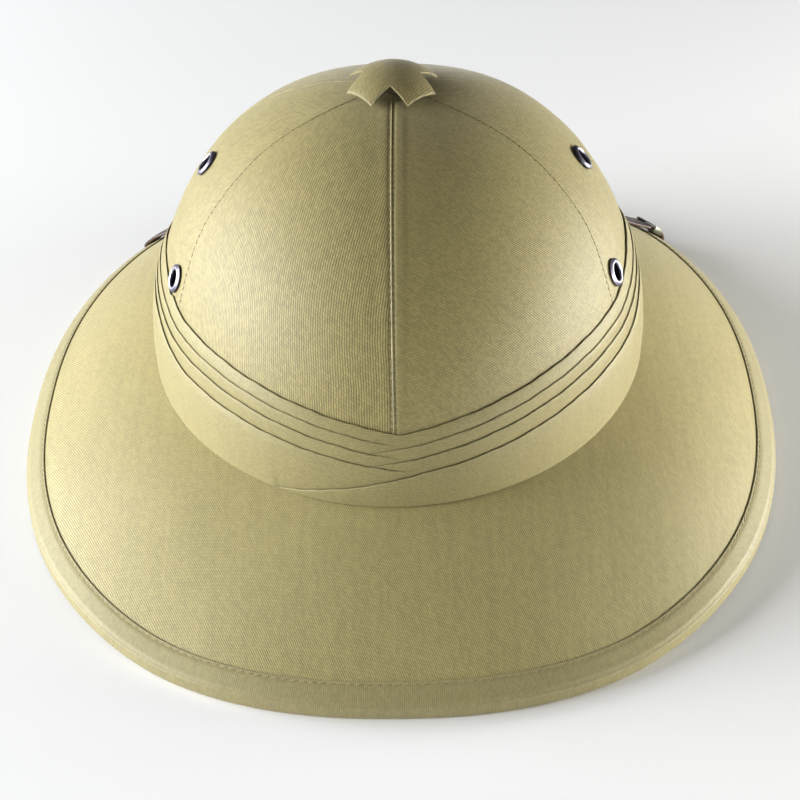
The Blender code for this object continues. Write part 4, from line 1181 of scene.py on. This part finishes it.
@dataclass
class VentilatorCap(Dresser):
    """Domed cloth cap with four petals, on a short boss."""

    radius: float = 17.0 * MM
    notch_radius: float = 10.0 * MM
    core_radius: float = 9.7 * MM
    corner_angle: float = math.radians(22.5)
    dome_radius: float = 24.0 * MM
    rise: float = 8.1 * MM
    wall: float = 0.9 * MM
    boss_radius: float = 6.0 * MM
    turn: float = math.radians(-3.0)
    rib_turn: float = math.radians(38.0)
    segments: int = 160

    def outline(self, turn: Array) -> Array:
        """Radius of the cap's edge: a straight edge on each petal and a V notch between petals."""
        from_notch = np.abs((turn + QUARTER / 2.0) % QUARTER - QUARTER / 2.0)
        corner = self.radius * np.array((math.cos(self.corner_angle), math.sin(self.corner_angle)))
        edge = corner - (self.notch_radius, 0.0)
        square = np.array((edge[1], -edge[0])) / np.linalg.norm(edge)
        notch = square[0] * self.notch_radius / np.maximum(
            square[0] * np.cos(from_notch) + square[1] * np.sin(from_notch), 1e-6)
        petal = self.radius * math.cos(QUARTER / 2.0 - self.corner_angle) / np.cos(QUARTER / 2.0 - from_notch)
        return np.where(from_notch < self.corner_angle, notch, petal)

    def place(self, turn: Array, radius: Number, below: float) -> Array:
        """Points of the dome at a radius, below its outer face."""
        apex = self.form.crown_point(0.0, QUARTER)
        heading, radius = level(turn + self.turn, radius)
        height = apex[2] + self.rise - self.dome_radius + np.sqrt(self.dome_radius ** 2 - radius ** 2) - below
        return np.stack((radius * np.sin(heading), apex[1] - radius * np.cos(heading), height), -1)

    def make(self) -> None:
        """Make the cap and its frayed edge."""
        corners = [k * QUARTER + side * self.corner_angle for k in range(5) for side in (-1.0, 0.0, 1.0)]
        turns = np.unique(np.round(np.concatenate((np.linspace(0.0, TURN, self.segments + 1), corners)), 6))
        turns = turns[(turns >= 0.0) & (turns <= TURN + 1e-6)]
        edge, core, wall = self.outline(turns), self.core_radius, self.wall
        rings = [(core * reach, 0.0, 0.0) for reach in (0.0, 0.15, 0.3, 0.45, 0.6, 0.75, 0.88, 1.0)]
        rings += [(core + (edge - core) * reach, 0.0, 0.0) for reach in (0.12, 0.3, 0.5, 0.7, 0.86, 0.95)]
        # The petals' edges and the whole underside are darkened as painted shade.
        rings += [(edge, 0.10 * MM, -0.10), (edge, wall * 0.4, -0.2), (edge - 0.15 * MM, wall, -0.6)]
        rings += [(core + (edge - core) * reach, wall, -1.0) for reach in (0.6, 0.2)]
        rings += [(radius, wall, -1.0) for radius in (0.9 * self.notch_radius, self.boss_radius)]
        dome = [(self.place(turns, radius, below), paleness) for radius, below, paleness in rings]
        apex = self.form.crown_point(0.0, QUARTER)
        foot = dome[-1][0].copy()
        foot[:, 2] = apex[2] + GAP
        centre = np.broadcast_to((0.0, apex[1], apex[2] + GAP), foot.shape)
        points, wear_and_painted_light = lofted([*dome, (foot, -1.0), (centre, -1.0)])
        coords = turned_map(points[..., 0], points[..., 1], self.rib_turn)
        draft = MeshDraft().add_grid(points, coords, wear_and_painted_light)
        cap = draft.build("cap_petals", self.palette["cap_cloth"], crease=50.0)
        path_turns = np.linspace(TURN - self.corner_angle, TURN - 0.01, 60)
        path = self.place(path_turns, self.outline(path_turns) - 0.05 * MM, 0.25 * MM)
        outward = unit(path - np.array((0.0, apex[1], apex[2] + self.rise - self.dome_radius)))
        fray = StitchRow(pitch=0.55 * MM, length=1.1 * MM, thickness=0.28 * MM, slant=QUARTER, waver=0.35)
        frayed = fray.make("cap_frayed_edge", [(path, outward)], self.palette["raw_edge"])
        settle(cap, "crown_cloth", "ventilator_cap")
        settle(frayed, "crown_cloth")


# ------------------------------------------------------------------ eyelets


@dataclass
class Eyelets(Dresser):
    """Rolled metal eyelets, three on each side of the crown."""

    places: tuple[tuple[str, float, float], ...] = (
        ("top", 90.4, 69.9 * MM), ("back", 69.9, 43.9 * MM), ("front", 118.0, 42.6 * MM))
    hole: float = 3.1 * MM
    barrel: float = 3.6 * MM
    flange: float = 5.2 * MM
    stand: float = 0.45 * MM
    back: float = 0.9 * MM

    def frames(self) -> dict[str, Matrix]:
        """Name and frame of each eyelet."""
        return {"eyelet_%s_%s" % (side, name): self.form.side_frame(sign * math.radians(degrees), height)
                for side, sign in SIDES for name, degrees, height in self.places}

    def make(self) -> None:
        """Make the eyelets."""
        deep, hole, flange, stand = -(self.form.crown_wall + self.back), self.hole, self.flange, self.stand
        # Paleness below zero paints shade in the bore and a dark reflection round the flange's outer roll; the
        # inner rim above zero stays clear of smears.
        profile = [
            (hole, deep - 0.6 * MM, -1.3), (flange - 1.3 * MM, deep - 0.6 * MM, 0.0),
            (flange - 0.8 * MM, deep - 0.4 * MM, 0.0), (flange - 0.8 * MM, deep, 0.0),
            (self.barrel, deep, 0.0), (self.barrel, stand, 0.0), (flange - 0.35 * MM, stand, -0.4),
            (flange, stand + 0.15 * MM, -1.2), (flange - 0.05 * MM, stand + 0.4 * MM, -1.0),
            (flange - 0.35 * MM, 0.95 * MM, -0.85), (flange - 0.8 * MM, 1.28 * MM, -0.7),
            (flange - 1.15 * MM, 1.42 * MM, -0.3), (hole + 0.6 * MM, 1.45 * MM, 0.3),
            (hole + 0.2 * MM, 1.2 * MM, 0.2), (hole, 0.85 * MM, -0.7), (hole, 0.3 * MM, -1.3),
            (hole, -1.0 * MM, -1.3), (hole, deep - 0.6 * MM, -1.3),
        ]
        for name, frame in self.frames().items():
            settle(turned(name + "_ring", profile, 48, frame, self.palette["nickel"]), "nickel", name)


# ------------------------------------------------------------------ chin strap


@dataclass
class ChinStrap(Dresser):
    """Leather strap, worn up over the front of the brim, with its slide and the studs that hold it.

    brim_sweep and sweep hold plan angles in degrees, distances from the rim or heights, distances off the
    surface, and how far the strap has turned on edge.
    """

    width: float = 10.0 * MM
    wall: float = 1.4 * MM
    step: float = 2.0 * MM
    angle_step: float = 0.02
    anchor_angle: float = math.radians(116.0)
    rim_angle: float = math.radians(132.4)
    anchor_height: float = 9.0 * MM
    anchor_stand: float = 1.0 * MM
    tail: float = 8.0 * MM
    hem_drop: float = 3.5 * MM
    sag: float = 1.0 * MM
    shank: float = 2.0 * MM
    head: float = 4.5 * MM
    head_wall: float = 1.5 * MM
    fold_out: float = 2.3 * MM
    corner: float = 0.9 * MM
    land: float = 1.5 * MM
    slide_length: float = 6.0 * MM
    slide_from_rim: float = 3.8 * MM
    slide_grip: float = 3.2 * MM
    slide_wall: float = 0.5 * MM
    slide_crown: float = 0.2 * MM
    brim_sweep: tuple[tuple[float, ...], ...] = (
        (134.6, 17.5 * MM, 1.2 * MM, 0.02), (137.4, 28.0 * MM, 2.2 * MM, 0.16))
    sweep: tuple[tuple[float, ...], ...] = (
        (143.0, 9.5 * MM, 12.0 * MM, 0.55), (151.0, 13.5 * MM, 5.0 * MM, 0.85),
        (160.0, 16.0 * MM, 2.2 * MM, 1.0), (170.0, 17.0 * MM, 1.6 * MM, 1.0), (180.0, 17.3 * MM, 1.5 * MM, 1.0))
    cut_edge: tuple[Triple, ...] = (
        (0.35, 0.86, 0.05), (0.08, 0.45, 0.15), (0.0, 0.0, 0.5), (0.08, -0.45, 1.0), (0.35, -0.9, 0.7))

    def wall_station(self, height: float) -> Station:
        """Station against the inside of the crown: place and width direction."""
        form, angle, step = self.form, self.anchor_angle, self.angle_step
        rise = form.crown_rise(np.float64(angle), np.float64(height))
        before, here, after = (form.crown_point(angle + turn, rise, form.crown_wall)
                               for turn in (-step, 0.0, step))
        off_wall = self.anchor_stand + self.wall / 2.0
        return here - form.crown_normal(np.float64(angle), rise) * off_wall, unit(after - before)

    def rim_stations(self, slide_lift: float) -> list[Station]:
        """Stations of the turn over the binding, from below it to the brim's top."""
        form, angle, step = self.form, self.rim_angle, self.angle_step
        width = unit(form.brim_point(angle + step, 0.0) - form.brim_point(angle - step, 0.0))
        inner, outer, _ = form.section(np.float64(angle))
        square = unit(np.array((width[1], -width[0])))
        slope = math.atan(math.tan(form.rim_slope(angle)) / float(unit(outer - inner) @ square))
        edge = form.beside_rim(angle, 0.0, 0.0)
        rest, face = GAP + self.wall / 2.0, GAP + form.binding_wall
        corner, reach = face - self.corner, self.corner + rest
        low, top = float(form.rim_lift(angle)) + self.corner, float(form.rim_top(angle))
        under = corner - self.land
        marks = [(under - 8.0 * MM, low - reach + 1.2 * MM), (under, low - reach)]
        for degrees in (-90.0, -75.0, -60.0, -45.0, -30.0, -15.0, 0.0):
            bend = math.radians(degrees)
            marks.append((corner + reach * math.cos(bend), low + reach * math.sin(bend)))
        marks.append((corner + reach + 0.3 * slide_lift,
                      top + face / math.cos(slope) - corner * math.tan(slope) - self.corner))
        lift = face + rest + slide_lift
        for aside in (-self.slide_grip, 0.0, self.slide_grip):
            from_rim = self.slide_from_rim + aside
            marks.append((lift * math.sin(slope) - from_rim * math.cos(slope),
                          top + lift * math.cos(slope) + from_rim * math.sin(slope)))
        return [(edge + np.array((square[0] * out, square[1] * out, height)), width) for out, height in marks]

    def edge_direction(self, angle: Array, height: float, step: float = 4.0 * MM) -> Array:
        """Downward direction along the pugaree's face, for a strap on edge."""
        low, high = (self.form.crown_side(angle, np.float64(height + more), self.fold_out)
                     for more in (-step, step))
        return unit(low - high)

    def swept(self, sweep: Sequence[float], brim_width: Array, on_brim: bool) -> Station:
        """Station above the brim's top face, or across the front of the crown."""
        degrees, along, off, twist = sweep
        angle = np.float64(math.radians(degrees))
        if on_brim:
            height, place = self.sweep[0][1], self.form.brim_point(angle, along, off)
        else:
            stand = self.fold_out + (GAP + self.wall / 2.0) + off
            height, place = along, self.form.crown_side(angle, np.float64(along), stand)
        return place, unit(brim_width * (1.0 - twist) + self.edge_direction(angle, height) * twist)

    def half(self, slide_lift: float) -> list[Station]:
        """Stations of the right half, from its end in the crown to the middle of the front."""
        heights = self.anchor_height + self.tail, self.anchor_height, 1.0 * MM
        held = [self.wall_station(height) for height in heights]
        last, width = held[-1]
        rim = self.rim_stations(slide_lift)
        under_hem = last - np.array((0.0, 0.0, self.form.crown_hem + self.hem_drop))
        middle = 0.5 * (under_hem + rim[0][0]) - np.array((0.0, 0.0, self.sag))
        hanging = [(under_hem, width), (middle, 0.5 * (width + rim[0][1]))]
        brim_width = rim[-1][1]
        over_brim = [self.swept(sweep, brim_width, True) for sweep in self.brim_sweep]
        across_front = [self.swept(sweep, brim_width, False) for sweep in self.sweep]
        return held + hanging + rim + over_brim + across_front

    def frames(self) -> tuple[Array, Array, Array, Array]:
        """Place, width, heading and face normal at each station of the whole strap."""
        mirror = np.array((-1.0, 1.0, 1.0))
        left = [(place * mirror, width * mirror) for place, width in self.half(0.0)]
        stations = self.half(GAP + self.slide_wall) + left[-2::-1]
        places, widths = (np.array(part) for part in zip(*stations))
        marks = arc_lengths(places)
        fine = [marks[0]]
        for start, end in zip(marks[:-1], marks[1:]):
            count = max(1, round((end - start) / self.step))
            fine.extend(start + (end - start) * (k + 1) / count for k in range(count))
        place, width = (self.hermite(marks, values, np.array(fine)) for values in (places, widths))
        ahead = unit(np.gradient(place, axis=0))
        width = unit(width - ahead * np.sum(width * ahead, axis=1, keepdims=True))
        return place, width, ahead, np.cross(width, ahead)

    @staticmethod
    def hermite(marks: Array, values: Array, fine: Array) -> Array:
        """Smooth curve through values at the marks, read at the fine positions."""
        last = len(marks) - 1
        before = np.maximum(np.arange(last + 1) - 1, 0)
        after = np.minimum(np.arange(last + 1) + 1, last)
        slopes = (values[after] - values[before]) / (marks[after] - marks[before])[:, None]
        k = np.clip(np.searchsorted(marks, fine, side="right") - 1, 0, last - 1)
        span = (marks[k + 1] - marks[k])[:, None]
        u = (fine - marks[k])[:, None] / span
        return ((2 * u ** 3 - 3 * u ** 2 + 1) * values[k] + (3 * u ** 2 - 2 * u ** 3) * values[k + 1]
                + (u ** 3 - 2 * u ** 2 + u) * span * slopes[k] + (u ** 3 - u ** 2) * span * slopes[k + 1])

    def make_strap(self) -> None:
        """Make the leather strap with rounded, paler edges."""
        place, width, _, face = self.frames()
        half, deep = self.width / 2.0, self.wall / 2.0
        flat = half - 1.6 * MM
        left = [(-half + inset * MM, deep * share, wear_and_painted_light) for inset, share, wear_and_painted_light in self.cut_edge]
        right = [(-across, up, wear_and_painted_light) for across, up, wear_and_painted_light in reversed(left)]
        outline = [(flat, deep, 0.0), (0.0, deep * 1.04, 0.0), (-flat, deep, 0.0), *left,
                   (-flat, -deep, 0.05), (0.0, -deep, 0.0), (flat, -deep, 0.05), *right, (flat, deep, 0.0)]
        points, wear_and_painted_light = lofted((place + width * across + face * up, paleness)
                              for across, up, paleness in outline)
        coords = map_grid(arc_lengths(place), arc_lengths(points[:, 0]))
        draft = MeshDraft().add_grid(points, coords, wear_and_painted_light)
        for end in (0, -1):
            draft.add_end(*(np.roll(grid[:-1, end], 2, axis=0) for grid in (points, coords)))
        strap = draft.build("strap_leather_band", self.palette["strap_leather"], crease=60.0)
        cut(strap, [self.anchor_frame(sign) for _, sign in SIDES], self.shank + GAP, depth=12.0 * MM)
        settle(strap, "strap_leather", "chin_strap")

    def anchor_frame(self, side: float) -> Matrix:
        """Frame of a stud on the inside of the crown, with Z pointing in."""
        form = self.form
        return form.side_frame(side * self.anchor_angle, self.anchor_height, form.crown_wall, out=-1.0)

    def make_anchors(self) -> None:
        """Make the studs that hold the strap's ends."""
        base, under, head = 2.2 * GAP, self.anchor_stand + self.wall + 2.0 * GAP, self.head
        top = under + self.head_wall
        # The shank just under the head is darkened as painted shade, and the head's rim is kept clear of
        # smears.
        profile = [(0.0, base, 0.0), (self.shank, base, 0.0), (self.shank, under, -0.4),
                   (head - 0.2 * MM, under, 0.0), (head, under + 0.25 * MM, 0.1),
                   (head - 0.15 * MM, under + 0.6 * MM, 0.1), (head - 0.9 * MM, top - 0.3 * MM, 0.0),
                   (head - 2.2 * MM, top - 0.06 * MM, 0.0), (0.0, top, 0.0)]
        for side, sign in SIDES:
            stud = turned("strap_stud_" + side, profile, 32, self.anchor_frame(sign), self.palette["nickel"])
            settle(stud, "nickel", "strap_anchor_" + side)

    def make_slide(self) -> None:
        """Make the domed metal loop round the strap."""
        middle = self.form.brim_point(self.rim_angle, self.slide_from_rim)
        places, *directions = self.frames()
        k = int(np.argmin(np.linalg.norm(places[:len(places) // 2] - middle, axis=1)))
        origin, across, along, up = places[k], *(direction[k] for direction in directions)
        half_in, deep_in = self.width / 2.0 + GAP, self.wall / 2.0 + GAP
        half_out, deep_out = half_in + 0.9 * MM, deep_in + self.slide_wall
        top_shares, bottom_shares = np.linspace(-1.0, 1.0, 15), np.linspace(1.0, -1.0, 9)

        def outline(half: float, tops: Array, side: list[tuple[float, float]], bottom: float) -> Array:
            """Closed outline from its half width, its heights along the top, its right side and its bottom."""
            points = [(share * half, height) for share, height in zip(top_shares, tops)]
            points += [*side, *((share * half, bottom) for share in bottom_shares)]
            points += [(-x, y) for x, y in reversed(side)]
            return np.array(points + points[:1])

        def outside(shrink: float, dome: float) -> Array:
            """Outer outline, drawn in by shrink, with its top domed."""
            tops = deep_out - 0.25 * MM - shrink + dome * self.slide_crown * (1.0 - np.abs(top_shares) ** 2.2)
            side = [(half_out - 0.12 * MM - shrink, deep_out - 0.75 * MM), (half_out - shrink, 0.0),
                    (half_out - 0.12 * MM - shrink, -deep_out + 0.5 * MM)]
            return outline(half_out - 0.5 * MM, tops, side, -deep_out + shrink)

        def opening(grow: float) -> Array:
            """Inner outline with as many points as the outer one."""
            side = [(half_in + grow, share * deep_in) for share in (0.6, 0.0, -0.6)]
            return outline(half_in + grow, np.full(len(top_shares), deep_in + grow), side, -deep_in - grow)

        reach = self.slide_length / 2.0
        # The opening is darkened as painted shade; the outer ends are kept clear of smears.
        ahead = [(outside(0.0, 0.8), reach - 0.35 * MM, 0.2), (outside(0.14 * MM, 0.7), reach - 0.08 * MM, 0.4),
                 (outside(0.3 * MM, 0.6), reach, 0.2), (opening(0.1 * MM), reach, -0.3),
                 (opening(0.0), reach - 0.2 * MM, -0.7)]
        behind = [(ring, -shift, wear_and_painted_light) for ring, shift, wear_and_painted_light in reversed(ahead)]
        rings = [behind[-1], (outside(0.0, 1.0), 0.0, 0.0), *ahead, *behind]
        points, wear_and_painted_light = lofted((origin + along * shift + ring[:, :1] * across + ring[:, 1:] * up, paleness)
                              for ring, shift, paleness in rings)
        coords = map_grid(arc_lengths(points[0]), np.arange(len(rings)) * MM)
        draft = MeshDraft().add_grid(points, coords, wear_and_painted_light)
        slide = draft.build("slide_loop", self.palette["slide_metal"], crease=40.0)
        settle(slide, "nickel", "strap_slide")

    def make(self) -> None:
        """Make the strap, its studs and its slide."""
        self.make_strap()
        self.make_anchors()
        self.make_slide()


# ------------------------------------------------------------------ studio


@dataclass(frozen=True)
class SoftLight:
    """One soft lamp: where it stands, its size and its strength."""

    name: str
    place: Triple
    size: float
    power: float
    colour: Triple


@dataclass
class Studio:
    """Camera, floor and soft light."""

    camera_place: Triple = (0.018, -0.67949, 0.49933)
    camera_aim: Triple = (-0.00031, -0.00275, 0.00796)
    camera_roll: float = math.radians(-1.659)
    lens: float = 96.35
    world: float = 0.055
    lamp_aim: Triple = (0.0, 0.0, 0.06)
    floor_reach: float = 6.0
    floor: FloorFinish = FloorFinish("studio_floor", (0.94, 0.94, 0.94))
    lights: tuple[SoftLight, ...] = (
        SoftLight("left_softbox_front", (-1.781, 0.477, 0.520), 1.0, 45.0, (0.97, 0.985, 1.0)),
        SoftLight("left_softbox_back", (-1.781, -0.477, 0.520), 1.0, 56.0, (0.97, 0.985, 1.0)),
        SoftLight("right_low_front", (0.724, 0.194, 0.05), 0.3, 6.6, (1.0, 0.99, 0.95)),
        SoftLight("right_low_middle", (0.747, -0.065, 0.05), 0.3, 5.6, (1.0, 0.99, 0.95)),
        SoftLight("right_low_back", (0.530, -0.530, 0.05), 0.3, 2.5, (1.0, 0.99, 0.95)),
        SoftLight("right_top_fill", (1.180, -0.316, 1.516), 1.0, 2.0, (1.0, 0.99, 0.95)),
    )

    @staticmethod
    def stand(name: str, data: bpy.types.ID, place: Triple, aim: Triple, roll: float = 0.0) -> Piece:
        """Stand a camera or a lamp at a place, pointing at a target."""
        item = linked(name, data)
        look = (Vector(aim) - Vector(place)).to_track_quat("-Z", "Y").to_matrix().to_4x4()
        item.location = place
        item.rotation_euler = (look @ Matrix.Rotation(roll, 4, "Z")).to_euler()
        return item

    def make_camera(self) -> None:
        """Create the camera at the photograph's viewing angle."""
        data = bpy.data.cameras.new("camera")
        data.lens = self.lens
        data.sensor_width = 36.0
        data.clip_start = 0.01
        camera = self.stand("camera", data, self.camera_place, self.camera_aim, self.camera_roll)
        bpy.context.scene.camera = camera

    def make_lights(self) -> None:
        """Create the lamps and the pale world."""
        for light in self.lights:
            data = bpy.data.lights.new(light.name, "AREA")
            data.shape = "DISK"
            data.size = light.size
            data.energy = light.power
            data.color = light.colour
            self.stand(light.name, data, light.place, self.lamp_aim)
        bpy.context.scene.view_settings.view_transform = "Standard"
        world = bpy.data.worlds.new("pale_world")
        world.use_nodes = True
        back = world.node_tree.nodes["Background"]
        back.inputs["Color"].default_value = (1.0, 1.0, 1.0, 1.0)
        back.inputs["Strength"].default_value = self.world
        bpy.context.scene.world = world

    def make_floor(self) -> None:
        """Lay the floor."""
        mesh = bpy.data.meshes.new("studio_floor")
        reach = self.floor_reach
        corners = [(-reach, -reach, 0.0), (reach, -reach, 0.0), (reach, reach, 0.0), (-reach, reach, 0.0)]
        mesh.from_pydata(corners, [], [(0, 1, 2, 3)])
        mesh.materials.append(self.floor.material())
        floor = linked("studio_floor", mesh)

    def make(self) -> None:
        """Set up the studio."""
        self.make_camera()
        self.make_lights()
        self.make_floor()


# ------------------------------------------------------------------ building


def main() -> None:
    """Load the frame, dress the helmet and set up the studio."""
    logging.basicConfig(level=logging.INFO, format="%(name)s: %(message)s")
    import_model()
    form = HelmetForm()
    palette = {finish.name: finish.material() for finish in FINISHES}
    Studio().make()
    eyelets = Eyelets(form, palette)
    crown = Crown(form, palette)
    crown.make(eyelets.frames().values())
    crown.make_stitches()
    Brim(form, palette).make()
    Binding(form, palette).make()
    Pugaree(form, palette).make()
    VentilatorCap(form, palette).make()
    eyelets.make()
    ChinStrap(form, palette).make()


if __name__ == "__main__":
    main()
